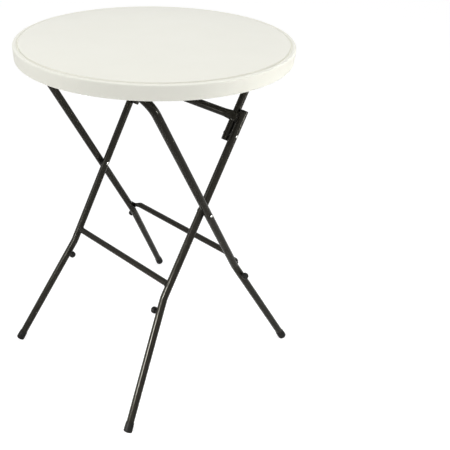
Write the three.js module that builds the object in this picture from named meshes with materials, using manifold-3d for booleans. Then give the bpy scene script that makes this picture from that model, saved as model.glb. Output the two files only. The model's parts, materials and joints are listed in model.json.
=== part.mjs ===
// Round bar-height folding table: a blow-moulded top on two crossed tubular frames.
// Millimetres, +Z up, origin on the floor under the middle of the top, shown open for use.
// X runs the way the legs spread and Y runs along the hinge axes.

import * as THREE from 'three';
import { mergeVertices } from 'three/addons/utils/BufferGeometryUtils.js';
import Module from 'manifold-3d';

const wasm = await Module();
wasm.setup();

// Driving dimensions of the whole table
const tableHeight = 1100;
const topDiameter = 800;

// Moulded top
const rimDepth = 43;
const panelThickness = 20;
const rimWidth = 20;
const rimWallDraft = 6;
const sideDraft = 1.5;
const edgeRadius = 5;
const lipRadius = 4;
const raisedPanelInset = 15;
const raisedPanelHeight = 1.2;
const fieldLineInset = 65;
const fieldLineDepth = 1;
const fluteCount = 48;
const fluteDepth = 7;
const pitSpacingAlong = 45;
const pitSpacingAcross = 60;
const pitLength = 22;
const pitWidth = 11;
const pitDepth = 15;

// Clearances between pieces
const seatGap = 0.3;
const cutOverrun = 2;

// Fold linkage
const hingeDrop = 45;
const frameHingeMargin = 74;
const braceHingeMargin = 88;
const outerLean = 31;
const foldLead = 5.5;
const foldClearance = 1;

// Frames
const legDiameter = 24;
const frameHalfWidth = 254;
const legSpacing = 28;
const frameCornerRadius = 66;
const kneeShare = 0.7164;
const kneeRadius = 90;
const legSplay = 10;
const innerLegTop = 75;

// Plug-in lower legs and their hand knobs
const tubeWall = 1.7;
const socketDepth = 65;
const stubLength = 80;
const knobDrop = 45;
const knobDiameter = 22;
const knobHeadHeight = 15;
const knobNeckDiameter = 11;
const knobNeckHeight = 4;
const knobStudDiameter = 6;
const knobStudDepth = 5;
const knobEdge = 3;

// Foot caps and tube plugs
const footCapWall = 1.3;
const footCapLength = 27;
const footCapFloor = 4;
const plugDepth = 12;
const plugFlange = 2.5;
const plugCrown = 1;

// Cross tubes
const spreaderDiameter = 20;
const outerSpreaderRise = 20;
const innerSpreaderRise = 45;
const topBarDiameter = 22;
const topBarRise = 53;
const tabThickness = 4.5;
const tabWidth = 27;
const tabOverhang = 7;
const squashLength = 22;

// Braces
const braceDiameter = 22;
const braceGap = 3;
const braceUpperOverrun = 17;
const braceLowerOverrun = 18;

// Bolts, pins and screws
const boltDiameter = 8;
const boltHeadDiameter = 12;
const thinHeadHeight = 1;
const lowHeadHeight = 2;
const thickHeadHeight = 4.5;
const spacerDiameter = 17;
const screwShankDiameter = 4.4;
const screwHeadDiameter = 10;
const screwHeadHeight = 3;
const screwGrip = 10;

// Steel under the top
const crossbarWidth = 20;
const crossbarHeight = 5;
const crossbarRimGap = 1;
const frameCrossbarOffset = 10;
const braceCrossbarOffset = 70;
const crossbarScrewInset = 10;
const sheetWall = 1.6;
const sheetBend = 2;
const railWidth = 24;
const railRimGap = 8;
const railOverhang = 64;
const railScrewInset = 11;
const clampWidth = 18;
const clampThickness = 2;
const clampScrewSpan = 53;
const clampFlange = 7;
const bracketThickness = 2.5;
const bracketEarRadius = 12;
const bracketReach = 19;
const snapArmThickness = 2;
const snapArmFlare = 6;
const snapWidth = 18;
const snapGap = 0.7;

// Facets
const legSides = 16;
const slimSides = 12;
const boltSides = 10;
const screwSides = 8;
const kneeSteps = 3;
const cornerSteps = 6;
const arcSteps = 8;

// Derived sizes of the top and the steel on its underside
const topRadius = topDiameter / 2;
const insideRadius = topRadius - rimWidth;
const undersideRadius = insideRadius - lipRadius;
const undersideZ = tableHeight - panelThickness;
const rimBottomZ = tableHeight - rimDepth;
const hingeZ = tableHeight - hingeDrop;
const legRadius = legDiameter / 2;
const railBottomZ = hingeZ + legRadius + 2 * seatGap;
const railHeight = undersideZ - seatGap - railBottomZ;

// Derived places across the width, measured from the middle
const outerLegY = frameHalfWidth;
const innerLegY = outerLegY - legSpacing;
const braceRadius = braceDiameter / 2;
const braceY = innerLegY - legRadius - braceGap - braceRadius;
const earOuterY = braceY - braceRadius - seatGap;
const earInnerY = earOuterY - bracketThickness;
const railOuterY = earInnerY;
const railY = railOuterY - railWidth / 2;

// Derived hinge places along the spread, kept inside the rim
const railReach = Math.sqrt(insideRadius ** 2 - railOuterY ** 2);
const frameHingeX = -(railReach - frameHingeMargin);
const braceHingeX = railReach - braceHingeMargin;
const hingeSpan = braceHingeX - frameHingeX;

// Open pose: the brace and the upper inner leg are in line, which locks the table.
// Folded pose: the same links lie side by side, which fixes how the line is divided.
const radians = THREE.MathUtils.degToRad;
const crossDistance = hingeSpan - foldLead;
const frameHinge = new THREE.Vector2(frameHingeX, hingeZ);
const braceHinge = new THREE.Vector2(braceHingeX, hingeZ);
const outerAway = new THREE.Vector2(Math.sin(radians(outerLean)), -Math.cos(radians(outerLean)));
const crossing = frameHinge.clone().addScaledVector(outerAway, crossDistance);
const braceLine = crossing.clone().sub(braceHinge);
const braceLength = (braceLine.length() + foldLead) / 2;
const crossToBrace = braceLine.length() - braceLength;
const innerLean = Math.atan2(-braceLine.x, -braceLine.y);
const braceBolt = braceHinge.clone().addScaledVector(braceLine.clone().normalize(), braceLength);

// Folded pose: the frames stop just clear of the rim, so the links end almost flat.
const rimCrossingX = Math.sqrt(topRadius ** 2 - outerLegY ** 2);
const foldedAxisZ = rimBottomZ - legRadius - foldClearance;
const foldTilt = Math.asin((hingeZ - foldedAxisZ) / (rimCrossingX - frameHingeX));
const foldedOuterAway = new THREE.Vector2(Math.cos(foldTilt), -Math.sin(foldTilt));
const foldedCrossing = frameHinge.clone().addScaledVector(foldedOuterAway, crossDistance);
const foldedGap = braceHinge.clone().sub(foldedCrossing);
const foldedTurn = Math.acos(
  (crossToBrace ** 2 + foldedGap.lengthSq() - braceLength ** 2) / (2 * crossToBrace * foldedGap.length()),
);
const foldedInnerAngle = foldedGap.angle() + foldedTurn;
const foldedInnerAway = new THREE.Vector2(Math.cos(foldedInnerAngle), Math.sin(foldedInnerAngle));
const foldedBraceBolt = foldedCrossing.clone().addScaledVector(foldedInnerAway, crossToBrace);

// Derived sizes along the legs
const kneeDistance = tableHeight * kneeShare;
const kneeBelowCrossing = kneeDistance - crossDistance;
const innerKnee = crossToBrace + kneeBelowCrossing;
const socketRadius = legRadius - tubeWall;
const spigotRadius = socketRadius - seatGap;
const topBarRadius = topBarDiameter / 2;
const topBarOffset = braceRadius + topBarRadius + seatGap;
const spreaderRadius = spreaderDiameter / 2;
const legFaceOffset = legRadius + seatGap;
const boltRadius = boltDiameter / 2;
const boltHoleRadius = boltRadius + seatGap;
const screwHoleRadius = screwShankDiameter / 2 + seatGap;
const knobHoleRadius = knobStudDiameter / 2 + seatGap;

// Solid helpers
function toSolid(geometry) {
  const bare = geometry.clone();
  bare.deleteAttribute('normal');
  bare.deleteAttribute('uv');
  const merged = mergeVertices(bare);
  const corners = merged.index.array;
  const triangles = [];
  for (let i = 0; i < corners.length; i += 3) {
    const [a, b, c] = [corners[i], corners[i + 1], corners[i + 2]];
    if (a !== b && b !== c && c !== a) triangles.push(a, b, c);
  }
  return new wasm.Manifold(new wasm.Mesh({
    numProp: 3,
    vertProperties: merged.attributes.position.array,
    triVerts: new Uint32Array(triangles),
  }));
}

function toGeometry(solid) {
  const mesh = solid.getMesh();
  const geometry = new THREE.BufferGeometry();
  geometry.setAttribute('position', new THREE.BufferAttribute(mesh.vertProperties, 3));
  geometry.setIndex(new THREE.BufferAttribute(mesh.triVerts, 1));
  geometry.computeVertexNormals();
  return geometry;
}

function cut(geometry, ...tools) {
  return toGeometry(toSolid(geometry).subtract(wasm.Manifold.union(tools.map(toSolid))));
}

function join(...geometries) {
  return toGeometry(wasm.Manifold.union(geometries.map(toSolid)));
}

// A round bar between two points
function rod(radius, from, to, sides) {
  const along = to.clone().sub(from);
  const away = along.clone().normalize();
  const geometry = new THREE.CylinderGeometry(radius, radius, along.length(), sides);
  geometry.applyQuaternion(new THREE.Quaternion().setFromUnitVectors(THREE.Object3D.DEFAULT_UP, away));
  return geometry.translate(...from.clone().addScaledVector(along, 1 / 2));
}

function rodY(radius, x, z, fromY, toY, sides) {
  return rod(radius, new THREE.Vector3(x, fromY, z), new THREE.Vector3(x, toY, z), sides);
}

function rodZ(radius, x, y, fromZ, toZ, sides) {
  return rod(radius, new THREE.Vector3(x, y, fromZ), new THREE.Vector3(x, y, toZ), sides);
}

function box(fromX, toX, fromY, toY, fromZ, toZ) {
  const geometry = new THREE.BoxGeometry(toX - fromX, toY - fromY, toZ - fromZ);
  return geometry.translate((fromX + toX) / 2, (fromY + toY) / 2, (fromZ + toZ) / 2);
}

// A revolved solid round Z: the outline goes out from the axis, up and back to it
function turnedZ(outline, segments) {
  return turned(outline, segments).rotateX(Math.PI / 2);
}

// The same round Y, with the outline's height pointing away from the middle on either side
function turnedY(outline, side, segments) {
  const geometry = turned(outline, segments);
  return side < 0 ? geometry.rotateX(Math.PI) : geometry;
}

function turned(outline, segments) {
  const points = outline.map(([radius, height]) => new THREE.Vector2(radius, height));
  return new THREE.LatheGeometry(points, segments);
}

function arc(centreX, centreY, radius, from, to, steps) {
  const points = [];
  for (let i = 0; i <= steps; i += 1) {
    const angle = from + (to - from) * (i / steps);
    points.push([centreX + radius * Math.cos(angle), centreY + radius * Math.sin(angle)]);
  }
  return points;
}

function shapeOf(points) {
  return new THREE.Shape(points.map(([x, y]) => new THREE.Vector2(x, y)));
}

// A section in X and Z extruded across the table, and one in Y and Z extruded along it
const acrossTable = new THREE.Matrix4().makeBasis(
  new THREE.Vector3(1, 0, 0), new THREE.Vector3(0, 0, 1), new THREE.Vector3(0, -1, 0),
);
const alongTable = new THREE.Matrix4().makeBasis(
  new THREE.Vector3(0, 1, 0), new THREE.Vector3(0, 0, 1), new THREE.Vector3(1, 0, 0),
);

function extrudeY(points, fromY, toY) {
  const geometry = new THREE.ExtrudeGeometry(shapeOf(points), { depth: toY - fromY, bevelEnabled: false });
  return geometry.applyMatrix4(acrossTable).translate(0, toY, 0);
}

function extrudeX(points, fromX, toX) {
  const geometry = new THREE.ExtrudeGeometry(shapeOf(points), { depth: toX - fromX, bevelEnabled: false });
  return geometry.applyMatrix4(alongTable).translate(fromX, 0, 0);
}

// Section of a pressed channel, open upwards, with rounded lower corners
function channel(width, height, wall, bend) {
  const half = width / 2;
  const innerBend = bend / 2;
  return [
    [-half, height],
    ...arc(-half + bend, bend, bend, Math.PI, 3 * Math.PI / 2, 3),
    ...arc(half - bend, bend, bend, -Math.PI / 2, 0, 3),
    [half, height],
    [half - wall, height],
    ...arc(half - wall - innerBend, wall + innerBend, innerBend, 0, -Math.PI / 2, 2),
    ...arc(-half + wall + innerBend, wall + innerBend, innerBend, -Math.PI / 2, -Math.PI, 2),
    [-half + wall, height],
  ];
}

// A bent tube: straight runs between corners, with rings only where the tube bends
class PipePath extends THREE.Curve {
  constructor(corners) {
    super();
    this.stations = [];
    const runs = corners.slice(1).map((corner, i) => corner.at.clone().sub(corners[i].at).normalize());
    corners.forEach((corner, i) => {
      const before = runs[Math.max(i - 1, 0)];
      const after = runs[Math.min(i, runs.length - 1)];
      if (!corner.radius) {
        this.stations.push({ point: corner.at, tangent: before });
        return;
      }
      const turn = before.angleTo(after);
      const axis = before.clone().cross(after).normalize();
      const start = corner.at.clone().addScaledVector(before, -corner.radius * Math.tan(turn / 2));
      const centre = start.clone().addScaledVector(axis.clone().cross(before), corner.radius);
      for (let step = 0; step <= corner.steps; step += 1) {
        const angle = turn * (step / corner.steps);
        this.stations.push({
          point: start.clone().sub(centre).applyAxisAngle(axis, angle).add(centre),
          tangent: before.clone().applyAxisAngle(axis, angle),
        });
      }
    });
  }

  getPoint(t, target = new THREE.Vector3()) {
    const place = t * (this.stations.length - 1);
    const index = Math.min(Math.floor(place), this.stations.length - 2);
    return target.lerpVectors(this.stations[index].point, this.stations[index + 1].point, place - index);
  }

  getPointAt(u, target) {
    return this.getPoint(u, target);
  }

  getTangentAt(u, target = new THREE.Vector3()) {
    return target.copy(this.stations[Math.round(u * (this.stations.length - 1))].tangent);
  }
}

function pipe(radius, sides, corners) {
  const path = new PipePath(corners);
  const section = [];
  for (let i = 0; i < sides; i += 1) {
    const angle = 2 * Math.PI * ((i + 1 / 2) / sides);
    section.push([radius * Math.cos(angle), radius * Math.sin(angle)]);
  }
  return new THREE.ExtrudeGeometry(shapeOf(section), {
    steps: path.stations.length - 1,
    bevelEnabled: false,
    extrudePath: path,
  });
}

// A straight cross tube along Y whose ends are pressed into flat weld tabs.
// offset is how far the tube's axis stands off the frame's plane, signed by its side.
function tabbedTube(radius, sides, offset, halfLength) {
  const squashEnd = innerTabY(halfLength);
  const squashStart = squashEnd - squashLength;
  const places = [-halfLength, -squashEnd, -squashStart, squashStart, squashEnd, halfLength];
  const geometry = pipe(radius, sides, places.map((y) => ({ at: new THREE.Vector3(0, y, 0) })));
  const position = geometry.attributes.position;
  const facing = Math.sign(offset);
  const tabOffset = facing * (legFaceOffset + tabThickness / 2);
  for (let i = 0; i < position.count; i += 1) {
    const share = THREE.MathUtils.clamp((Math.abs(position.getY(i)) - squashStart) / squashLength, 0, 1);
    const thin = THREE.MathUtils.lerp(1, tabThickness / 2 / radius, share);
    const wide = THREE.MathUtils.lerp(1, tabHalfWidth(radius) / radius, share);
    const centre = THREE.MathUtils.lerp(offset, tabOffset, share);
    position.setX(i, centre + position.getX(i) * thin);
    position.setZ(i, position.getZ(i) * wide);
  }
  return geometry;
}

// The pressed end keeps the tube's girth, so it is wider than the round part
function tabHalfWidth(radius) {
  return tabWidth / 2 * (radius / topBarRadius);
}

function innerTabY(halfLength) {
  return halfLength - tabOverhang - legRadius;
}

// Finishes
function finish(name, color, roughness, metalness) {
  return new THREE.MeshStandardMaterial({ name, color, roughness, metalness });
}

const mouldedPlastic = finish('moulded_top', 0xf0f0e8, 0.45, 0);
const coatedSteel = finish('coated_steel', 0x3a3733, 0.3, 0.2);
const blackPlastic = finish('black_plastic', 0x1c1b1a, 0.5, 0);
const zincSteel = finish('zinc_steel', 0xb9bab8, 0.35, 1);

// Scene graph: one group for each part of the fold linkage, turned to the open pose
const table = new THREE.Group();
const outerFrame = new THREE.Group();
const innerFrame = new THREE.Group();
const braces = new THREE.Group();
outerFrame.position.set(frameHingeX, 0, hingeZ);
outerFrame.rotation.y = -radians(outerLean);
braces.position.set(braceHingeX, 0, hingeZ);
braces.rotation.y = innerLean;
innerFrame.position.set(braceBolt.x, 0, braceBolt.y);
innerFrame.rotation.y = innerLean;
table.add(outerFrame, innerFrame, braces);

const sides = [{ side: 1, word: 'left' }, { side: -1, word: 'right' }];

function place(parent, name, geometry, material) {
  const mesh = new THREE.Mesh(geometry, material);
  mesh.name = name;
  parent.add(mesh);
}

// Screws that hold the steel to the top, given by place and by the height of their seat
const seats = [];
const crossbars = [
  { name: 'crossbar_frame_side', x: frameHingeX + frameCrossbarOffset },
  { name: 'crossbar_brace_side', x: braceHingeX - braceCrossbarOffset },
];
const crossbarBottomZ = undersideZ - seatGap - crossbarHeight;
const railFromX = -(railReach - railRimGap);
const railToX = braceHingeX + railOverhang;
const bracketTopZ = railBottomZ - seatGap;
const bracketBottomZ = bracketTopZ - bracketThickness;
const clampFlangeZ = railBottomZ - seatGap - clampThickness;

for (const bar of crossbars) {
  const reach = Math.sqrt(undersideRadius ** 2 - (Math.abs(bar.x) + crossbarWidth / 2) ** 2);
  bar.halfLength = reach - crossbarRimGap;
}
for (const { side, word } of sides) {
  crossbars.forEach((bar) => seats.push({
    name: `screw_${bar.name}_${word}`,
    x: bar.x,
    y: side * (bar.halfLength - crossbarScrewInset),
    z: crossbarBottomZ,
  }));
  seats.push(
    { name: `screw_rail_end_${word}`, x: railFromX + railScrewInset, y: side * railY, z: railBottomZ },
    { name: `screw_clamp_a_${word}`, x: frameHingeX - clampScrewSpan / 2, y: side * railY, z: clampFlangeZ },
    { name: `screw_clamp_b_${word}`, x: frameHingeX + clampScrewSpan / 2, y: side * railY, z: clampFlangeZ },
    { name: `screw_bracket_${word}`, x: railToX - railScrewInset, y: side * railY, z: bracketBottomZ },
  );
}

function screwHole(seat) {
  const bottomZ = seat.z - cutOverrun;
  return rodZ(screwHoleRadius, seat.x, seat.y, bottomZ, undersideZ + screwGrip + cutOverrun, screwSides);
}

const screwHoles = seats.map(screwHole);

for (const seat of seats) {
  const headRadius = screwHeadDiameter / 2;
  const shankRadius = screwShankDiameter / 2;
  const length = undersideZ + screwGrip - seat.z;
  const headSeat = -seatGap;
  const outline = [
    [0, headSeat - screwHeadHeight],
    [headRadius * Math.SQRT1_2, headSeat - screwHeadHeight],
    [headRadius, headSeat],
    [shankRadius, headSeat],
    [shankRadius, length],
    [0, length],
  ];
  place(table, seat.name, turnedZ(outline, screwSides).translate(seat.x, seat.y, seat.z), zincSteel);
}

// Pits in the underside, where the mould presses the lower skin against the upper one.
// They stand in staggered rows over the flat field and leave the steel's seats plain.
function underSteel(x, y) {
  const clearAlong = (crossbarWidth + pitLength) / 2 + cutOverrun;
  const clearAcross = (railWidth + pitWidth) / 2 + cutOverrun;
  const underRail = x > railFromX - pitLength && x < railToX + pitLength
    && Math.abs(Math.abs(y) - railY) < clearAcross;
  return underRail || crossbars.some((bar) => Math.abs(x - bar.x) < clearAlong);
}

function pits() {
  const reach = topRadius - fieldLineInset - pitLength / 2 - cutOverrun;
  const rows = Math.floor(reach / (pitSpacingAlong / 2));
  const columns = Math.floor(reach / (pitSpacingAcross / 2));
  const depth = pitDepth + cutOverrun;
  const pit = new THREE.ConeGeometry(Math.SQRT1_2, 1, 4)
    .rotateY(Math.PI / 4)
    .rotateX(Math.PI / 2)
    .scale(pitLength * depth / pitDepth, pitWidth * depth / pitDepth, depth);
  const all = [];
  for (let row = -rows; row <= rows; row += 1) {
    for (let column = -columns; column <= columns; column += 1) {
      const x = row * pitSpacingAlong / 2;
      const y = column * pitSpacingAcross / 2;
      if ((row + column) % 2 === 0 && Math.hypot(x, y) < reach && !underSteel(x, y)) {
        all.push(pit.clone().translate(x, y, undersideZ + pitDepth - depth / 2));
      }
    }
  }
  return all;
}

// Top: one revolved shell with a raised panel, a deep rolled rim and a fluted inner wall.
// The flutes have upright backs, so they run out towards the lip as the wall slopes.
function mouldedTop() {
  const sideFootRadius = topRadius - sideDraft;
  const wallFootRadius = insideRadius + rimWallDraft;
  const lipZ = lipRadius - rimDepth;
  const fieldRadius = topRadius - fieldLineInset;
  const panelRadius = topRadius - raisedPanelInset;
  const outline = [
    [0, -panelThickness],
    [fieldRadius - fieldLineDepth, -panelThickness],
    [fieldRadius, fieldLineDepth - panelThickness],
    [fieldRadius + fieldLineDepth, -panelThickness],
    ...arc(undersideRadius, -panelThickness - lipRadius, lipRadius, Math.PI / 2, 0, 1),
    ...arc(wallFootRadius + lipRadius, lipZ, lipRadius, Math.PI, 3 * Math.PI / 2, 2),
    ...arc(sideFootRadius - lipRadius, lipZ, lipRadius, -Math.PI / 2, 0, 1),
    ...arc(topRadius - edgeRadius, -raisedPanelHeight - edgeRadius, edgeRadius, 0, Math.PI / 2, 2),
    [panelRadius + raisedPanelHeight, -raisedPanelHeight],
    [panelRadius, 0],
    [0, 0],
  ];
  const geometry = turnedZ(outline, 2 * fluteCount);
  const position = geometry.attributes.position;
  const wallTopZ = -panelThickness - lipRadius + seatGap;
  for (let i = 0; i < position.count; i += 1) {
    const [x, y, z] = [position.getX(i), position.getY(i), position.getZ(i)];
    const radius = Math.hypot(x, y);
    const onWall = radius > insideRadius - cutOverrun && radius < wallFootRadius + seatGap;
    if (onWall && z < wallTopZ) {
      const wave = (1 + Math.cos(fluteCount * Math.atan2(y, x))) / 2;
      const scale = THREE.MathUtils.lerp(1, (insideRadius + fluteDepth) / radius, wave);
      position.setXYZ(i, x * scale, y * scale, z);
    }
  }
  return cut(geometry.translate(0, 0, tableHeight), ...screwHoles, ...pits());
}

place(table, 'table_top', mouldedTop(), mouldedPlastic);

// Crossbars: pressed channels let into the rails, tight to the underside
for (const bar of crossbars) {
  const section = channel(crossbarWidth, crossbarHeight, sheetWall, sheetBend);
  const geometry = extrudeY(section, -bar.halfLength, bar.halfLength).translate(bar.x, 0, crossbarBottomZ);
  place(table, bar.name, cut(geometry, ...screwHoles), coatedSteel);
}

// Rails: deeper channels with a notch where each crossbar passes
for (const { side, word } of sides) {
  const section = channel(railWidth, railHeight, sheetWall, sheetBend);
  const geometry = extrudeX(section, railFromX, railToX).translate(0, side * railY, railBottomZ);
  const notches = crossbars.map((bar) => box(
    bar.x - crossbarWidth / 2 - seatGap,
    bar.x + crossbarWidth / 2 + seatGap,
    side * railY - railWidth,
    side * railY + railWidth,
    crossbarBottomZ - seatGap,
    undersideZ + cutOverrun,
  ));
  place(table, `rail_${word}`, cut(geometry, ...notches, ...screwHoles), coatedSteel);
}

// Saddle clamps: straps that carry the outer frame's top tube and let it turn
for (const { side, word } of sides) {
  const inner = legRadius + seatGap;
  const outer = inner + clampThickness;
  const flangeTop = clampFlangeZ + clampThickness - hingeZ;
  const flangeEnd = clampScrewSpan / 2 + clampFlange;
  const outline = [
    [-flangeEnd, flangeTop],
    [-flangeEnd, flangeTop - clampThickness],
    [-outer, flangeTop - clampThickness],
    ...arc(0, 0, outer, Math.PI, 2 * Math.PI, arcSteps),
    [outer, flangeTop - clampThickness],
    [flangeEnd, flangeTop - clampThickness],
    [flangeEnd, flangeTop],
    [inner, flangeTop],
    ...arc(0, 0, inner, 0, -Math.PI, arcSteps),
    [-inner, flangeTop],
  ];
  const middle = side * railY;
  const strap = extrudeY(outline, middle - clampWidth / 2, middle + clampWidth / 2)
    .translate(frameHingeX, 0, hingeZ);
  place(table, `saddle_clamp_${word}`, cut(strap, ...screwHoles), coatedSteel);
}

// Brace brackets: a flat foot under the rail's end and an ear that holds the brace pin
for (const { side, word } of sides) {
  const footInner = railY - screwHeadDiameter / 2 - bracketThickness;
  const fromX = braceHingeX - bracketReach;
  const foot = box(
    fromX,
    railToX,
    side > 0 ? footInner : -earOuterY,
    side > 0 ? earOuterY : -footInner,
    bracketBottomZ,
    bracketTopZ,
  );
  const earOutline = [
    [bracketEarRadius, bracketTopZ - hingeZ],
    [-bracketEarRadius, bracketTopZ - hingeZ],
    ...arc(0, 0, bracketEarRadius, -Math.PI, 0, arcSteps),
  ];
  const earY = side * (earInnerY + earOuterY) / 2;
  const ear = extrudeY(earOutline, earY - bracketThickness / 2, earY + bracketThickness / 2)
    .translate(braceHingeX, 0, hingeZ);
  const pinHole = rodY(boltHoleRadius, braceHingeX, hingeZ, -outerLegY, outerLegY, boltSides);
  place(table, `brace_bracket_${word}`, cut(join(foot, ear), pinHole, ...screwHoles), coatedSteel);
}

// A headed pin along Y: radii and distances from the middle of the table
function headedPin(headFromY, headToY, shankToY, tailRadius, tailToY) {
  const domed = boltHeadDiameter / 2 - (headToY - headFromY) / 4;
  return [
    [0, headFromY],
    [domed, headFromY],
    [boltHeadDiameter / 2, (headFromY + headToY) / 2],
    [boltHeadDiameter / 2, headToY],
    [boltRadius, headToY],
    [boltRadius, shankToY],
    [tailRadius, shankToY],
    [tailRadius, tailToY],
    [0, tailToY],
  ];
}

for (const { side, word } of sides) {
  const outline = headedPin(
    earInnerY - seatGap - thickHeadHeight,
    earInnerY - seatGap,
    braceY + braceRadius + seatGap,
    boltHeadDiameter / 2,
    braceY + braceRadius + seatGap + thinHeadHeight,
  );
  const pin = turnedY(outline, side, boltSides).translate(braceHingeX, 0, hingeZ);
  place(table, `brace_pin_${word}`, pin, zincSteel);
}

// Snap clip: a spring strip under one rail that grips the inner frame's top bar when folded
const foldedBar = new THREE.Vector2(-topBarRise, -topBarOffset)
  .rotateAround(new THREE.Vector2(), foldedInnerAngle - Math.PI)
  .add(foldedBraceBolt);

function snapClip() {
  const topZ = railBottomZ - seatGap - foldedBar.y;
  const inner = topBarRadius + snapGap;
  const outer = inner + snapArmThickness;
  const outline = [
    [-outer, topZ],
    [-outer, 0],
    [-outer - snapArmFlare, -topBarRadius],
    [-outer - snapArmFlare + snapArmThickness, -topBarRadius],
    [-inner, 0],
    [-inner, topZ - snapArmThickness],
    [inner, topZ - snapArmThickness],
    [inner, 0],
    [outer + snapArmFlare - snapArmThickness, -topBarRadius],
    [outer + snapArmFlare, -topBarRadius],
    [outer, 0],
    [outer, topZ],
  ];
  return extrudeY(outline, -railY - snapWidth / 2, -railY + snapWidth / 2)
    .translate(foldedBar.x, 0, foldedBar.y);
}

place(table, 'snap_clip', snapClip(), zincSteel);

// Outer frame: one U-shaped tube, hinged at its top run, with sockets below the knees
const splay = radians(legSplay);
const splayRun = new THREE.Vector3(0, Math.sin(splay), -Math.cos(splay));

function splayed(y, kneeZ, side, distance) {
  return new THREE.Vector3(0, y, kneeZ)
    .addScaledVector(new THREE.Vector3(0, side * splayRun.y, splayRun.z), distance);
}

function socketCut(y, kneeZ, side) {
  const mouth = splayed(side * y, kneeZ, side, stubLength + cutOverrun);
  const bottom = splayed(side * y, kneeZ, side, stubLength - socketDepth);
  return rod(socketRadius, bottom, mouth, legSides);
}

// The knob's hole goes through one wall of the socket, on the outward or the inward side
function knobHole(y, kneeZ, side, outward) {
  const from = splayed(side * y, kneeZ, side, knobDrop);
  const away = new THREE.Vector3(0, splayRun.z, -side * splayRun.y).multiplyScalar(-side * outward);
  const to = from.clone().addScaledVector(away, legRadius + cutOverrun);
  return rod(knobHoleRadius, from, to, boltSides);
}

// A bolt hole through one leg or brace, at a height along it
function boltHole(y, z) {
  return rodY(boltHoleRadius, 0, z, y - legDiameter, y + legDiameter, boltSides);
}

function outerTube() {
  const kneeZ = -kneeDistance;
  const corners = [
    { at: splayed(-outerLegY, kneeZ, -1, stubLength) },
    { at: new THREE.Vector3(0, -outerLegY, kneeZ), radius: kneeRadius, steps: kneeSteps },
    { at: new THREE.Vector3(0, -outerLegY, 0), radius: frameCornerRadius, steps: cornerSteps },
    { at: new THREE.Vector3(0, outerLegY, 0), radius: frameCornerRadius, steps: cornerSteps },
    { at: new THREE.Vector3(0, outerLegY, kneeZ), radius: kneeRadius, steps: kneeSteps },
    { at: splayed(outerLegY, kneeZ, 1, stubLength) },
  ];
  const cuts = sides.flatMap(({ side }) => [
    socketCut(outerLegY, kneeZ, side),
    knobHole(outerLegY, kneeZ, side, 1),
    boltHole(side * outerLegY, -crossDistance),
  ]);
  return cut(pipe(legRadius, legSides, corners), ...cuts);
}

place(outerFrame, 'outer_frame_tube', outerTube(), coatedSteel);

const outerSpreaderOffset = legFaceOffset + spreaderRadius;
const outerSpreader = tabbedTube(spreaderRadius, slimSides, outerSpreaderOffset, outerLegY + tabOverhang);
outerSpreader.translate(0, 0, outerSpreaderRise - kneeDistance);
place(outerFrame, 'outer_spreader', outerSpreader, coatedSteel);

// Inner frame: two separate legs joined by a top bar and a spreader
for (const { side, word } of sides) {
  const y = side * innerLegY;
  const corners = [
    { at: new THREE.Vector3(0, y, innerLegTop) },
    { at: new THREE.Vector3(0, y, -innerKnee), radius: kneeRadius, steps: kneeSteps },
    { at: splayed(y, -innerKnee, side, stubLength) },
  ];
  const boreFloor = innerLegTop - plugDepth - plugFlange;
  const topBore = rodZ(socketRadius, 0, y, boreFloor, innerLegTop + cutOverrun, legSides);
  const holes = [0, -crossToBrace].map((z) => boltHole(y, z));
  const leg = cut(
    pipe(legRadius, legSides, corners),
    topBore,
    socketCut(innerLegY, -innerKnee, side),
    knobHole(innerLegY, -innerKnee, side, -1),
    ...holes,
  );
  place(innerFrame, `inner_leg_${word}`, leg, coatedSteel);
}

const topBar = tabbedTube(topBarRadius, legSides, -topBarOffset, innerLegY + tabOverhang);
place(innerFrame, 'inner_top_bar', topBar.translate(0, 0, topBarRise), coatedSteel);

function innerSpreader() {
  const z = innerSpreaderRise - innerKnee;
  const bar = rodY(spreaderRadius, 0, z, -innerLegY, innerLegY, slimSides);
  const legs = sides.map(({ side }) => rodZ(
    legRadius + seatGap,
    0,
    side * innerLegY,
    z - legDiameter,
    z + legDiameter,
    legSides,
  ));
  return cut(bar, ...legs);
}

place(innerFrame, 'inner_spreader', innerSpreader(), coatedSteel);

// A push-in plug for a tube end: a spigot in the bore and a crowned flange on the end
function plug(boreRadius, outerRadius, segments) {
  return turnedZ([
    [0, -plugDepth],
    [boreRadius - seatGap, -plugDepth],
    [boreRadius - seatGap, seatGap],
    [outerRadius, seatGap],
    [outerRadius, seatGap + plugFlange - plugCrown],
    [outerRadius - plugCrown, seatGap + plugFlange],
    [0, seatGap + plugFlange],
  ], segments);
}

for (const { side, word } of sides) {
  const cap = plug(socketRadius, legRadius, legSides).translate(0, side * innerLegY, innerLegTop);
  place(innerFrame, `leg_plug_${word}`, cap, blackPlastic);
}

// Lower legs: a swaged spigot in the socket, a plain tube below it and a cap on the floor
const socketFloor = socketDepth - stubLength - 2 * seatGap;
const outerKneeHeight = hingeZ - kneeDistance * Math.cos(radians(outerLean));
const innerKneeHeight = crossing.y - kneeBelowCrossing * Math.cos(innerLean);
const lowerLegs = [
  {
    frame: outerFrame,
    word: 'outer',
    y: outerLegY,
    kneeZ: -kneeDistance,
    slant: outerKneeHeight / Math.cos(radians(outerLean)),
    outward: 1,
  },
  {
    frame: innerFrame,
    word: 'inner',
    y: innerLegY,
    kneeZ: -innerKnee,
    slant: innerKneeHeight / Math.cos(innerLean),
    outward: -1,
  },
];

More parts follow.
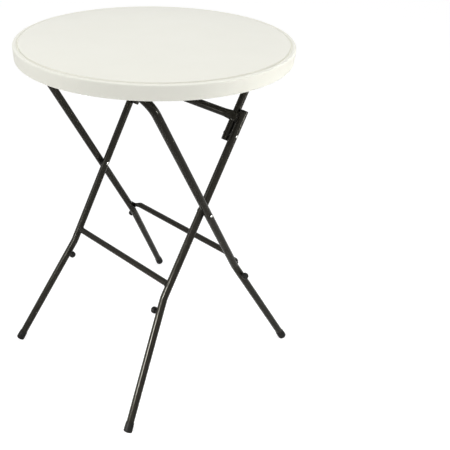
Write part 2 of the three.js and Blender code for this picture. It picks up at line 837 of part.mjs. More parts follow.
function lowerLegTube(tubeEnd, knobSide) {
  const tube = turnedZ([
    [0, -tubeEnd],
    [legRadius, -tubeEnd],
    [legRadius, -stubLength - seatGap],
    [spigotRadius, -stubLength - seatGap],
    [spigotRadius, socketFloor - plugCrown],
    [spigotRadius - plugCrown, socketFloor],
    [0, socketFloor],
  ], legSides);
  const studStart = knobSide * (spigotRadius - knobStudDepth);
  return cut(tube, rodY(knobHoleRadius, 0, -knobDrop, studStart, knobSide * legDiameter, boltSides));
}

function footCap(tubeEnd, floorDistance) {
  const capRadius = legRadius + seatGap + footCapWall;
  const capTop = -tubeEnd + footCapLength;
  return turnedZ([
    [0, -floorDistance - capRadius],
    [capRadius, -floorDistance - capRadius],
    [capRadius, capTop - plugCrown],
    [capRadius - plugCrown, capTop],
    [legRadius + seatGap, capTop],
    [legRadius + seatGap, -tubeEnd - seatGap],
    [0, -tubeEnd - seatGap],
  ], legSides);
}

function handKnob(knobSide) {
  const seat = legRadius + seatGap;
  const knobRadius = knobDiameter / 2;
  const headStart = seat + knobNeckHeight;
  return turnedY([
    [0, spigotRadius - knobStudDepth + seatGap],
    [knobStudDiameter / 2, spigotRadius - knobStudDepth + seatGap],
    [knobStudDiameter / 2, seat],
    [knobNeckDiameter / 2, seat],
    [knobNeckDiameter / 2, headStart],
    [knobRadius - knobEdge, headStart],
    [knobRadius, headStart + knobEdge],
    ...arc(knobRadius - knobEdge, headStart + knobHeadHeight - knobEdge, knobEdge, 0, Math.PI / 2, 1),
    [0, headStart + knobHeadHeight],
  ], knobSide, boltSides).translate(0, 0, -knobDrop);
}

for (const leg of lowerLegs) {
  for (const { side, word } of sides) {
    const lower = new THREE.Group();
    lower.position.set(0, side * leg.y, leg.kneeZ);
    lower.rotation.x = side * splay;
    leg.frame.add(lower);
    table.updateMatrixWorld(true);

    // The cut at the floor is square to the world, not to the leg
    const floorDistance = leg.slant / Math.cos(splay);
    const tilt = Math.acos(new THREE.Vector3().setFromMatrixColumn(lower.matrixWorld, 2).z);
    const tubeEnd = floorDistance - legRadius * Math.tan(tilt) - footCapFloor;
    const knobSide = side * leg.outward;
    const ground = box(-tableHeight, tableHeight, -tableHeight, tableHeight, -tableHeight, 0)
      .applyMatrix4(lower.matrixWorld.clone().invert());
    place(lower, `lower_leg_${leg.word}_${word}`, lowerLegTube(tubeEnd, knobSide), coatedSteel);
    place(lower, `foot_cap_${leg.word}_${word}`, cut(footCap(tubeEnd, floorDistance), ground), blackPlastic);
    place(lower, `knob_${leg.word}_${word}`, handKnob(knobSide), blackPlastic);
  }
}

// Crossing pivot, in two halves that meet between the frames: a headed stub in the outer
// leg, and a flanged stub in the inner leg that also spaces the two legs apart
for (const { side, word } of sides) {
  const legOuterFace = outerLegY + legRadius + seatGap;
  const legInnerFace = outerLegY - legRadius + seatGap;
  const headed = [
    [0, legInnerFace],
    [boltRadius, legInnerFace],
    [boltRadius, legOuterFace],
    [boltHeadDiameter / 2, legOuterFace],
    [boltHeadDiameter / 2, legOuterFace + thickHeadHeight / 2],
    [boltHeadDiameter / 2 - thickHeadHeight / 2, legOuterFace + thickHeadHeight],
    [0, legOuterFace + thickHeadHeight],
  ];
  const bolt = turnedY(headed, side, boltSides).translate(0, 0, -crossDistance);
  place(outerFrame, `cross_bolt_${word}`, bolt, zincSteel);

  const nutFace = innerLegY - legRadius - seatGap;
  const spacerFrom = innerLegY + legRadius + seatGap;
  const spacerTo = outerLegY - legRadius - seatGap;
  const flanged = [
    [0, nutFace - thinHeadHeight],
    [boltHeadDiameter / 2 - plugCrown, nutFace - thinHeadHeight],
    [boltHeadDiameter / 2, nutFace - thinHeadHeight / 2],
    [boltHeadDiameter / 2, nutFace],
    [boltRadius, nutFace],
    [boltRadius, spacerFrom],
    [spacerDiameter / 2, spacerFrom],
    [spacerDiameter / 2, spacerTo],
    [0, spacerTo],
  ];
  const nut = turnedY(flanged, side, boltSides).translate(0, 0, -crossToBrace);
  place(innerFrame, `cross_nut_${word}`, nut, zincSteel);
}

// Brace bolts: through the inner leg and the brace, with a spacer between them
for (const { side, word } of sides) {
  const nutFace = braceY - braceRadius - seatGap;
  const spacerFrom = braceY + braceRadius + seatGap;
  const spacerTo = innerLegY - legRadius - seatGap;
  const headFace = innerLegY + legRadius + seatGap;
  const outline = [
    [0, nutFace - lowHeadHeight],
    [boltHeadDiameter / 2 - plugCrown, nutFace - lowHeadHeight],
    [boltHeadDiameter / 2, nutFace - lowHeadHeight / 2],
    [boltHeadDiameter / 2, nutFace],
    [boltRadius, nutFace],
    [boltRadius, spacerFrom],
    [spacerDiameter / 2, spacerFrom],
    [spacerDiameter / 2, spacerTo],
    [boltRadius, spacerTo],
    [boltRadius, headFace],
    [boltHeadDiameter / 2, headFace],
    [boltHeadDiameter / 2 - plugCrown, headFace + thinHeadHeight],
    [0, headFace + thinHeadHeight],
  ];
  place(innerFrame, `brace_bolt_${word}`, turnedY(outline, side, boltSides), zincSteel);
}

// Braces: short tubes from the bracket pins down to the inner legs, plugged at both ends
for (const { side, word } of sides) {
  const y = side * braceY;
  const lowEnd = -braceLength - braceLowerOverrun;
  const boreRadius = braceRadius - tubeWall;
  const boreDepth = plugDepth + plugFlange;
  const tube = cut(
    rodZ(braceRadius, 0, y, lowEnd, braceUpperOverrun, legSides),
    rodZ(boreRadius, 0, y, lowEnd - cutOverrun, lowEnd + boreDepth, legSides),
    rodZ(boreRadius, 0, y, braceUpperOverrun - boreDepth, braceUpperOverrun + cutOverrun, legSides),
    boltHole(y, 0),
    boltHole(y, -braceLength),
  );
  place(braces, `brace_tube_${word}`, tube, coatedSteel);
  const upper = plug(boreRadius, braceRadius, legSides).translate(0, y, braceUpperOverrun);
  place(braces, `brace_plug_upper_${word}`, upper, blackPlastic);
  const lower = plug(boreRadius, braceRadius, legSides).rotateX(Math.PI).translate(0, y, lowEnd);
  place(braces, `brace_plug_lower_${word}`, lower, blackPlastic);
}

export default table;
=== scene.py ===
import json
import logging
import math
from collections.abc import Callable, Iterable, Sequence
from dataclasses import dataclass
from enum import Enum

import bmesh
import bpy
from mathutils import Matrix, Vector

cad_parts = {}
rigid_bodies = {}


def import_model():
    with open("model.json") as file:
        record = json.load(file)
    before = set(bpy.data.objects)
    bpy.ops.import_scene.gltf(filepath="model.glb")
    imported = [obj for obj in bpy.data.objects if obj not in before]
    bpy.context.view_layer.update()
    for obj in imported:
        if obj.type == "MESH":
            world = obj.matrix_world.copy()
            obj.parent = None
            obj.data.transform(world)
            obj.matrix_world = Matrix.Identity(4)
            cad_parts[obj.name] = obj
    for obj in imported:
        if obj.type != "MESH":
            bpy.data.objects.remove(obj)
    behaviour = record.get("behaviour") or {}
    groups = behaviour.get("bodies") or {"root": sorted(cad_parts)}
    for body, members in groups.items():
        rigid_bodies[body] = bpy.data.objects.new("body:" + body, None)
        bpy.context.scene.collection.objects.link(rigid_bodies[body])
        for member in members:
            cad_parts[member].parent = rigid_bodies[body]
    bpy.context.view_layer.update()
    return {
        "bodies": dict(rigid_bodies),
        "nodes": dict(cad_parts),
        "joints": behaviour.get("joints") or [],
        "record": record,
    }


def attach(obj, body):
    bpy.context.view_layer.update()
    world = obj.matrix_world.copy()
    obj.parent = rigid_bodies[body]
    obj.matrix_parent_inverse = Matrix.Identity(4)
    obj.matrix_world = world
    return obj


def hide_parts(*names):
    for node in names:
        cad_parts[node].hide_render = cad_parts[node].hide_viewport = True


LOG = logging.getLogger("bistro_table")

MM = 0.001
X_WAY = Vector((1.0, 0.0, 0.0))
Y_WAY = Vector((0.0, 1.0, 0.0))
Z_WAY = Vector((0.0, 0.0, 1.0))
WHITE = (1.0, 1.0, 1.0, 1.0)

Piece = bpy.types.Object
Socket = bpy.types.NodeSocket
Colour = tuple[float, float, float]
Point = tuple[float, float]
Place = tuple[float, float, float]


class Body(Enum):
    """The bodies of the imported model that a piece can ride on."""

    TOP = "top"
    OUTER = "outer_frame"
    INNER = "inner_frame"
    BRACES = "brace_links"


class Slot(Enum):
    """The record's material slots."""

    MOULDED = "moulded_top"
    COATED = "coated_steel"
    BLACK = "black_plastic"
    ZINC = "zinc_steel"


class Side(Enum):
    """The two mirrored sides of the table, by the sign of Y."""

    LEFT = 1
    RIGHT = -1

    @property
    def word(self) -> str:
        """The side's name as the CAD nodes write it."""
        return self.name.lower()


class Joining(Enum):
    """What a second piece does to the first one."""

    CUT = "DIFFERENCE"
    FUSE = "UNION"


# Workbench: small steps that every piece goes through. Sizes are in millimetres and angles in
# degrees, unless a line says otherwise.


def shift(x: float = 0.0, y: float = 0.0, z: float = 0.0) -> Matrix:
    """A move."""
    return Matrix.Translation((x * MM, y * MM, z * MM))


def turn(angle: float, axis: str) -> Matrix:
    """A turn about X, Y or Z."""
    return Matrix.Rotation(math.radians(angle), 4, axis)


def mirrored(side: Side) -> Matrix:
    """Nothing for the left side, and a mirror across the table's middle for the right one."""
    return Matrix.Scale(float(side.value), 4, Y_WAY)


ALONG_Y = turn(-90.0, "X")
AS_IT_IS = Matrix.Identity(4)


def clear_selection() -> None:
    """Leaves edit mode and deselects everything, the CAD nodes included."""
    if bpy.context.mode != "OBJECT":
        bpy.ops.object.mode_set(mode="OBJECT")
    bpy.ops.object.select_all(action="DESELECT")


def pick_up(piece: Piece) -> None:
    """Makes a piece the only selected and the active object.

    Args:
        piece: The piece to work on.
    """
    clear_selection()
    piece.select_set(True)
    bpy.context.view_layer.objects.active = piece


def open_mesh(piece: Piece, mode: str = "VERT") -> None:
    """Opens a piece in edit mode with everything in it selected.

    Args:
        piece: The piece to open.
        mode: VERT, EDGE or FACE.
    """
    pick_up(piece)
    bpy.ops.object.mode_set(mode="EDIT")
    bpy.ops.mesh.select_mode(type=mode)
    bpy.ops.mesh.select_all(action="SELECT")


def turn_outwards() -> None:
    """Turns the selected faces outwards and closes the mesh."""
    bpy.ops.mesh.normals_make_consistent(inside=False)
    bpy.ops.object.mode_set(mode="OBJECT")


def name_piece(piece: Piece, name: str) -> Piece:
    """Names a piece and its mesh alike."""
    piece.name = piece.data.name = name
    return piece


def discard(piece: Piece) -> None:
    """Clears a pattern away, with its mesh."""
    bpy.data.meshes.remove(piece.data)


def select_points(piece: Piece, wanted: Callable[[Vector], bool]) -> bool:
    """Selects the vertices of an opened piece by their place.

    Args:
        piece: A piece in edit mode.
        wanted: Says whether a vertex at this place is selected.

    Returns:
        Whether any was selected.
    """
    mesh = bmesh.from_edit_mesh(piece.data)
    for vertex in mesh.verts:
        vertex.select_set(wanted(vertex.co))
    mesh.select_flush_mode()
    bmesh.update_edit_mesh(piece.data)
    return any(vertex.select for vertex in mesh.verts)


def modify(piece: Piece, kind: str, **settings: object) -> Piece:
    """Adds a modifier to a piece and applies it.

    Args:
        piece: The piece.
        kind: The modifier's type.
        **settings: Its settings.

    Returns:
        The same piece.
    """
    modifier = piece.modifiers.new("step", kind)
    for key, value in settings.items():
        setattr(modifier, key, value)
    pick_up(piece)
    bpy.ops.object.modifier_apply(modifier=modifier.name)
    return piece


def combine(piece: Piece, other: Piece, way: Joining = Joining.CUT) -> Piece:
    """Cuts one piece by another or fuses it to it, and clears the other away.

    Args:
        piece: The piece that stays.
        other: The cutter, or the piece to fuse.
        way: Cut or fuse.

    Returns:
        The piece that stays.
    """
    modify(piece, "BOOLEAN", object=other, operation=way.value, solver="EXACT")
    discard(other)
    return piece


def ease_edges(piece: Piece, width: float, segments: int = 2, angle: float = 40.0) -> Piece:
    """Rounds the edges that are sharper than an angle, over a width."""
    return modify(piece, "BEVEL", width=width * MM, segments=segments, limit_method="ANGLE",
                  angle_limit=math.radians(angle))


def smooth(piece: Piece, angle: float = 32.0) -> Piece:
    """Shades a piece smooth, apart from edges sharper than an angle.

    Args:
        piece: The piece.
        angle: The angle.

    Returns:
        The same piece.
    """
    pick_up(piece)
    bpy.ops.object.shade_smooth_by_angle(angle=math.radians(angle))
    return piece


def settle(piece: Piece, place: Matrix) -> Piece:
    """Moves a piece to its place and writes that place into its mesh.

    Args:
        piece: The piece, modelled about the origin.
        place: Where it goes.

    Returns:
        The same piece.
    """
    pick_up(piece)
    piece.matrix_world = place
    bpy.ops.object.transform_apply(location=True, rotation=True, scale=True)
    if place.determinant() < 0.0:
        open_mesh(piece)
        turn_outwards()
    return piece


def copy_to(piece: Piece, name: str, place: Matrix) -> Piece:
    """Copies a piece with its own mesh and settles the copy.

    Args:
        piece: The pattern.
        name: The copy's name.
        place: Where the copy goes.

    Returns:
        The copy.
    """
    twin = piece.copy()
    twin.data = piece.data.copy()
    bpy.context.scene.collection.objects.link(twin)
    return settle(name_piece(twin, name), place)


class Run:
    """Draws a skin ring by ring: each step extrudes the last ring and shapes it."""

    def __init__(
        self, name: str, start: Sequence[float], heading: Vector, across: Vector,
        radius: float = 1.0, sides: int = 40, strap: Point | None = None,
    ) -> None:
        """Adds the first ring, round for tube and bar or a flat strip for pressed strap.

        Args:
            name: The piece's name.
            start: The ring's middle.
            heading: The way the run starts.
            across: The way a strap's width lies.
            radius: A round ring's radius.
            sides: A round ring's number of vertices.
            strap: A strap's thickness and width.
        """
        self.radius = radius
        self.heading = heading.normalized()
        self.at = Vector(start) * MM
        clear_selection()
        if strap:
            bpy.ops.mesh.primitive_plane_add(size=1.0)
            open_mesh(bpy.context.active_object)
            bpy.ops.transform.resize(value=(strap[0] * MM, strap[1] * MM, 1.0))
            bpy.ops.mesh.delete(type="ONLY_FACE")
        else:
            bpy.ops.mesh.primitive_circle_add(vertices=sides, radius=radius * MM)
        self.piece = name_piece(bpy.context.active_object, name)
        axes = Matrix((across.cross(self.heading), across, self.heading)).transposed()
        settle(self.piece, Matrix.Translation(self.at) @ axes.to_4x4())
        open_mesh(self.piece)

    def straight(self, length: float) -> "Run":
        """Draws a straight stretch.

        Args:
            length: Its length.

        Returns:
            The run, for the next step.
        """
        move = self.heading * length * MM
        bpy.ops.mesh.extrude_region_move(TRANSFORM_OT_translate={"value": tuple(move)})
        self.at = self.at + move
        return self

    def ring(self, radius: float, length: float) -> "Run":
        """Draws a stretch that ends at another radius.

        Args:
            radius: The radius at its end.
            length: Its length, or zero for a flat step.

        Returns:
            The run, for the next step.
        """
        self.straight(length)
        factor = radius / self.radius
        bpy.ops.transform.resize(value=(factor, factor, factor), center_override=tuple(self.at))
        self.radius = radius
        return self

    def bend(self, towards: Vector, radius: float, angle: float, steps: int) -> "Run":
        """Bends the run.

        Args:
            towards: The way it bends, square to the heading.
            radius: The bend's radius at the middle of the section.
            angle: How far it bends.
            steps: Rings in the bend.

        Returns:
            The run, for the next step.
        """
        centre = self.at + towards * radius * MM
        axis = self.heading.cross(towards)
        around = Matrix.Rotation(math.radians(angle), 3, axis)
        bpy.ops.mesh.spin(
            steps=steps, angle=-math.radians(angle), center=tuple(centre), axis=tuple(axis),
        )
        self.at = centre + around @ (self.at - centre)
        self.heading = around @ self.heading
        return self

    def back(self) -> "Run":
        """Turns the heading round, to draw the inside of a hollow."""
        self.heading = -self.heading
        return self

    def done(self) -> Piece:
        """Fills the open ends, merges doubles and turns the faces outwards.

        Returns:
            The finished piece.
        """
        open_mesh(self.piece, "EDGE")
        bpy.ops.mesh.remove_doubles(threshold=1e-6)
        bpy.ops.mesh.select_all(action="DESELECT")
        bpy.ops.mesh.select_non_manifold()
        bpy.ops.mesh.fill_holes(sides=0)
        bpy.ops.mesh.select_all(action="SELECT")
        turn_outwards()
        return self.piece


def turned(name: str, outline: Sequence[Point], sides: int) -> Piece:
    """Turns a round piece about Z from its outline, ring by ring.

    Args:
        name: The piece's name.
        outline: Radius and height of each ring. A flat face closes each end.
        sides: Vertices in each ring.

    Returns:
        The piece, about the origin.
    """
    first_radius, height = outline[0]
    run = Run(name, (0.0, 0.0, height), Z_WAY, Y_WAY, first_radius, sides)
    for radius, next_height in outline[1:]:
        run.ring(radius, next_height - height)
        height = next_height
    return run.done()


def block(name: str, low: Sequence[float], high: Sequence[float]) -> Piece:
    """A block between two corners, to be shaped further.

    Args:
        name: The piece's name.
        low: Its lowest corner.
        high: Its highest corner.

    Returns:
        The block.
    """
    clear_selection()
    bpy.ops.mesh.primitive_cube_add(size=1.0)
    piece = name_piece(bpy.context.active_object, name)
    middle = [(a + b) / 2.0 for a, b in zip(low, high)]
    scale = Matrix.Diagonal([(b - a) * MM for a, b in zip(low, high)]).to_4x4()
    return settle(piece, shift(*middle) @ scale)


def drill(piece: Piece, radius: float, length: float, place: Matrix) -> None:
    """Drills a round hole along Z of a place, which is the drill's middle."""
    bit = turned("drill", [(radius, -length / 2.0), (radius, length / 2.0)], 28)
    combine(piece, settle(bit, place))


def arc(centre: Point, radius: float, start: float, end: float, steps: int) -> list[Point]:
    """Points of an arc in an outline, from one angle to another, both included."""
    angles = [math.radians(start + (end - start) * i / steps) for i in range(steps + 1)]
    return [(centre[0] + radius * math.cos(a), centre[1] + radius * math.sin(a)) for a in angles]


def dome(seat: float, rise: float, radius: float) -> list[Point]:
    """Points of a domed head down to its seat; one that faces down has a negative rise."""
    shares = ((0.25, 1.0), (0.55, 0.93), (0.8, 0.72), (0.95, 0.38), (1.0, 0.0))
    return [(radius * out, seat + rise * up) for out, up in shares]


# Finishes


class Tree:
    """Adds and links nodes in one node tree."""

    def __init__(self, nodes: bpy.types.NodeTree) -> None:
        """Takes the tree over and empties it."""
        self.nodes = nodes
        nodes.nodes.clear()

    def add(
        self, kind: str, inputs: dict[str | int, object], **settings: object,
    ) -> Sequence[Socket]:
        """Adds a node.

        Args:
            kind: The node's type without the ShaderNode prefix.
            inputs: What each input gets, by its name or number: a link from a socket, or a value.
            **settings: Properties of the node.

        Returns:
            The node's outputs.
        """
        node = self.nodes.nodes.new("ShaderNode" + kind)
        for key, value in settings.items():
            setattr(node, key, value)
        for key, value in inputs.items():
            if isinstance(value, Socket):
                self.nodes.links.new(value, node.inputs[key])
            else:
                node.inputs[key].default_value = value
        return node.outputs


class Effect(Tree):
    """A shader node group that reads a place on the piece and puts out one thing."""

    def __init__(self, name: str, inputs: dict[str, object], result: str, kind: str) -> None:
        """Makes the group with its sockets.

        Args:
            name: The group's name.
            inputs: The value that each further input starts with, a number or a colour.
            result: The output's name.
            kind: The output's socket type.
        """
        super().__init__(bpy.data.node_groups.new(name, "ShaderNodeTree"))
        make = self.nodes.interface.new_socket
        make("Place", in_out="INPUT", socket_type="NodeSocketVector")
        for socket, value in inputs.items():
            number = isinstance(value, float)
            socket_type = "NodeSocketFloat" if number else "NodeSocketColor"
            make(socket, in_out="INPUT", socket_type=socket_type).default_value = value
        make(result, in_out="OUTPUT", socket_type=kind)
        self.given = self.nodes.nodes.new("NodeGroupInput").outputs
        self.result = self.nodes.nodes.new("NodeGroupOutput").inputs[result]

    def noise(self, scale: str, **values: float) -> Socket:
        """Noise at the place that the group reads, in the scale of one of its inputs."""
        inputs = {"Vector": self.given["Place"], "Scale": self.given[scale], **values}
        return self.add("TexNoise", inputs)["Fac"]

    def give(self, socket: Socket) -> bpy.types.NodeTree:
        """Puts a socket out and hands the finished group over."""
        self.nodes.links.new(socket, self.result)
        return self.nodes


class SharedEffects:
    """The node groups that every finish places with its own values."""

    def __init__(self) -> None:
        """Builds each group once."""
        self.drift = self.tone_drift()
        self.skin = self.skin_texture()
        self.handling = self.handling_marks()

    @staticmethod
    def tone_drift() -> bpy.types.NodeTree:
        """Broad, faint changes of tone, as moulded or coated surfaces have.

        Returns:
            The group.
        """
        inputs = {"Colour": WHITE, "Second Colour": WHITE, "Scale": 8.0, "Amount": 0.3}
        effect = Effect("tone_drift", inputs, "Colour", "NodeSocketColor")
        given = effect.given
        cloud = effect.noise("Scale", Detail=3.0, Roughness=0.55)
        mask = effect.add("MapRange", {"Value": cloud, "From Min": 0.3, "From Max": 0.7})
        share = effect.add("Math", {0: mask["Result"], 1: given["Amount"]}, operation="MULTIPLY")
        ends = {0: share[0], 6: given["Colour"], 7: given["Second Colour"]}
        return effect.give(effect.add("Mix", ends, data_type="RGBA")[2])

    @staticmethod
    def skin_texture() -> bpy.types.NodeTree:
        """Fine relief: a rounded grain or orange peel over a slow unevenness.

        Returns:
            The group.
        """
        inputs = {"Fine Scale": 900.0, "Broad Scale": 14.0, "Broad Share": 0.3}
        effect = Effect("skin_texture", inputs, "Height", "NodeSocketFloat")
        fine = effect.noise("Fine Scale", Detail=2.0)
        broad = effect.noise("Broad Scale", Detail=1.0)
        ends = {0: effect.given["Broad Share"], 2: fine, 3: broad}
        return effect.give(effect.add("Mix", ends, data_type="FLOAT")[0])

    @staticmethod
    def handling_marks() -> bpy.types.NodeTree:
        """Roughness that changes a little in smears, as a handled surface does.

        Returns:
            The group.
        """
        inputs = {"Scale": 20.0, "Smooth": 0.2, "Rough": 0.35}
        effect = Effect("handling_marks", inputs, "Roughness", "NodeSocketFloat")
        smear = effect.noise("Scale", Detail=5.0, Roughness=0.6, Distortion=0.8)
        spread = effect.add("MapRange", {
            "Value": smear, "From Min": 0.3, "From Max": 0.7,
            "To Min": effect.given["Smooth"], "To Max": effect.given["Rough"],
        })
        return effect.give(spread["Result"])


@dataclass(frozen=True)
class SurfaceFinish:
    """A finish that varies a little in tone, gloss and relief over the surface."""

    name: str
    slot: Slot
    colour: Colour
    second_colour: Colour
    tone_scale: float
    tone_amount: float
    smooth: float
    rough: float
    gloss_scale: float
    grain_scale: float
    broad_scale: float
    broad_share: float
    relief: float
    relief_depth: float
    metallic: float = 0.0
    specular: float = 0.5
    specular_tint: Colour = (1.0, 1.0, 1.0)
    coat: float = 0.0
    coat_roughness: float = 0.1

    def build(self, effects: SharedEffects) -> bpy.types.Material:
        """Builds the material.

        Args:
            effects: The shared node groups.

        Returns:
            The material.
        """
        material = bpy.data.materials.new(self.name)
        material.use_nodes = True
        tree = Tree(material.node_tree)
        place = {"Place": tree.add("TexCoord", {})["Object"]}
        tone = tree.add("Group", place | {
            "Colour": (*self.colour, 1.0), "Second Colour": (*self.second_colour, 1.0),
            "Scale": self.tone_scale, "Amount": self.tone_amount,
        }, node_tree=effects.drift)
        gloss = tree.add("Group", place | {
            "Scale": self.gloss_scale, "Smooth": self.smooth, "Rough": self.rough,
        }, node_tree=effects.handling)
        skin = tree.add("Group", place | {
            "Fine Scale": self.grain_scale, "Broad Scale": self.broad_scale,
            "Broad Share": self.broad_share,
        }, node_tree=effects.skin)
        relief = tree.add("Bump", {
            "Strength": self.relief, "Distance": self.relief_depth, "Height": skin["Height"],
        })
        shader = tree.add("BsdfPrincipled", {
            "Base Color": tone["Colour"],
            "Roughness": gloss["Roughness"],
            "Metallic": self.metallic,
            "Specular IOR Level": self.specular,
            "Specular Tint": (*self.specular_tint, 1.0),
            "Coat Weight": self.coat,
            "Coat Roughness": self.coat_roughness,
            "Normal": relief["Normal"],
        })
        tree.add("OutputMaterial", {"Surface": shader["BSDF"]})
        return material


MOULDED_PLASTIC = SurfaceFinish(
    name="moulded_white_plastic", slot=Slot.MOULDED,
    colour=(0.865, 0.86, 0.785), second_colour=(0.81, 0.805, 0.73),
    tone_scale=5.0, tone_amount=0.35, smooth=0.36, rough=0.48, gloss_scale=9.0,
    grain_scale=1100.0, broad_scale=9.0, broad_share=0.5, relief=0.22, relief_depth=0.0004,
)
COATED_STEEL = SurfaceFinish(
    name="dark_powder_coat", slot=Slot.COATED,
    colour=(0.0115, 0.0104, 0.0082), second_colour=(0.0168, 0.0152, 0.0124),
    tone_scale=30.0, tone_amount=0.6, smooth=0.16, rough=0.24, gloss_scale=26.0,
    grain_scale=1400.0, broad_scale=300.0, broad_share=0.35, relief=0.04, relief_depth=0.0001,
    specular=0.11, specular_tint=(1.0, 0.97, 0.8), coat=0.125, coat_roughness=0.1,
)
WELD_COAT = SurfaceFinish(
    name="coated_weld", slot=Slot.COATED,
    colour=(0.011, 0.0095, 0.0075), second_colour=(0.02, 0.018, 0.015),
    tone_scale=120.0, tone_amount=0.7, smooth=0.26, rough=0.42, gloss_scale=90.0,
    grain_scale=900.0, broad_scale=420.0, broad_share=0.6, relief=0.4, relief_depth=0.0004,
    specular=0.2, coat=0.05, coat_roughness=0.2,
)
BLACK_PLASTIC = SurfaceFinish(
    name="black_moulded_plastic", slot=Slot.BLACK,
    colour=(0.0095, 0.0092, 0.0086), second_colour=(0.016, 0.0155, 0.0145),
    tone_scale=60.0, tone_amount=0.5, smooth=0.4, rough=0.55, gloss_scale=60.0,
    grain_scale=1800.0, broad_scale=120.0, broad_share=0.25, relief=0.25, relief_depth=0.0002,
    specular=0.11,
)
ZINC_PLATE = SurfaceFinish(
    name="zinc_plated_steel", slot=Slot.ZINC,
    colour=(0.62, 0.62, 0.6), second_colour=(0.46, 0.46, 0.43),
    tone_scale=160.0, tone_amount=0.5, smooth=0.24, rough=0.42, gloss_scale=220.0,
    grain_scale=1500.0, broad_scale=260.0, broad_share=0.4, relief=0.15, relief_depth=0.0002,
    metallic=1.0,
)


PairRow = tuple[Piece, Matrix, str, SurfaceFinish, str]


class PaintShop:
    """Builds each finish once and puts it on the pieces."""

    def __init__(self) -> None:
        """Builds the shared effects; a finish is built when it is first used."""
        self.effects = SharedEffects()
        self.built: dict[str, bpy.types.Material] = {}

    def dress(self, piece: Piece, finish: SurfaceFinish, body: Body, *nodes: str) -> None:
        """Gives a piece its finish and its body, and hides the CAD nodes that it stands for.

        Args:
            piece: The finished piece.
            finish: Its finish.
            body: The body that it rides on.
            *nodes: The CAD nodes that it replaces.
        """
        if finish.name not in self.built:
            self.built[finish.name] = finish.build(self.effects)
        piece.data.materials.clear()
        piece.data.materials.append(self.built[finish.name])
        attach(piece, body.value)
        if nodes:
            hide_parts(*nodes)
        stands_for = ", ".join(nodes) or "-"
        LOG.info("%s: %s, on %s, stands for %s", piece.name, finish.name, body.value, stands_for)

    def pair(self, place: Callable[[Side], Matrix], body: Body, *rows: PairRow) -> None:
        """Copies patterns to both sides, dresses the copies and clears the patterns away.

        Args:
            place: Gives the place on each side.
            body: The body that the copies ride on.
            *rows: Each pattern, how it lies, the name of its copies, their finish and the name of
                the CAD nodes that they replace, both names before the side.
        """
        for side in Side:
            for pattern, lay, name, finish, node in rows:
                copy = copy_to(pattern, f"{name}_{side.word}", place(side) @ lay)
                self.dress(copy, finish, body, f"{node}_{side.word}")
        for pattern, *_ in rows:
            discard(pattern)


# Sizes that several sub-assemblies share


@dataclass(frozen=True)
class Linkage:
    """Where the fold linkage's pivots lie when the table is open."""

    hinge_height: float = 1055.0
    frame_hinge_x: float = -257.2545
    brace_hinge_x: float = 243.2545
    brace_bolt_x: float = 119.0968
    brace_bolt_z: float = 840.4671
    outer_lean: float = 31.0
    inner_lean: float = 30.0595
    cross_distance: float = 495.009
    cross_to_brace: float = 242.370
    brace_length: float = 247.870
    folded_bar_x: float = -58.28
    folded_bar_z: float = 1030.6

    def outer_place(self) -> Matrix:
        """The outer frame's own axes: origin on its hinge, legs down -Z."""
        return shift(self.frame_hinge_x, 0.0, self.hinge_height) @ turn(-self.outer_lean, "Y")

    def inner_place(self) -> Matrix:
        """The inner frame's own axes: origin on the brace bolts, legs down -Z."""
        return shift(self.brace_bolt_x, 0.0, self.brace_bolt_z) @ turn(self.inner_lean, "Y")

    def brace_place(self) -> Matrix:
        """The braces' own axes: origin on their hinge, tubes down -Z."""
        return shift(self.brace_hinge_x, 0.0, self.hinge_height) @ turn(self.inner_lean, "Y")


@dataclass(frozen=True)
class BraceStock:
    """The tube of the braces and where it lies."""

    y: float = 200.0
    radius: float = 11.0
    bore: float = 9.3


@dataclass(frozen=True)
class LegStock:
    """The tube of both frames and how it bends at the knee."""

    radius: float = 12.0
    bore: float = 10.3
    outer_y: float = 254.0
    inner_y: float = 226.0
    knee_distance: float = 788.04
    knee_radius: float = 90.0
    knee_steps: int = 6
    splay: float = 10.0
    stub: float = 80.0
    socket: float = 65.0
    mouth_depth: float = 0.6
    mouth_flare: float = 0.25
    rim: float = 0.35
    gap: float = 0.3
    hole: float = 4.3
    drill_length: float = 40.0

    @property
    def knee_share(self) -> float:
        """Length that the knee's bend takes from the straight runs on each side of it."""
        return self.knee_radius * math.tan(math.radians(self.splay / 2.0))

    def socket_run(self, name: str, y: float, knee_z: float, side: Side) -> Run:
        """Starts a leg at the floor of its socket, comes out and goes up to its knee's bend.

        Args:
            name: The piece's name.
            y: The leg's distance from the middle.
            knee_z: The knee's height in its frame's axes.
            side: Left or right.

        Returns:
            The run, headed up at the end of the knee.
        """
        sine, cosine = math.sin(math.radians(self.splay)), math.cos(math.radians(self.splay))
        down = Vector((0.0, side.value * sine, -cosine))
        floor = Vector((0.0, side.value * y, knee_z)) + down * (self.stub - self.socket)
        run = Run(name, floor, down, down.cross(X_WAY), self.bore)
        run.straight(self.socket - self.mouth_depth)
        run.ring(self.bore + self.mouth_flare, self.mouth_depth).ring(self.radius - self.rim, 0.0)
        run.back().ring(self.radius, self.rim).straight(self.stub - self.knee_share - self.rim)
        inwards = Vector((0.0, side.value * cosine, sine))
        return run.bend(inwards, self.knee_radius, self.splay, self.knee_steps)


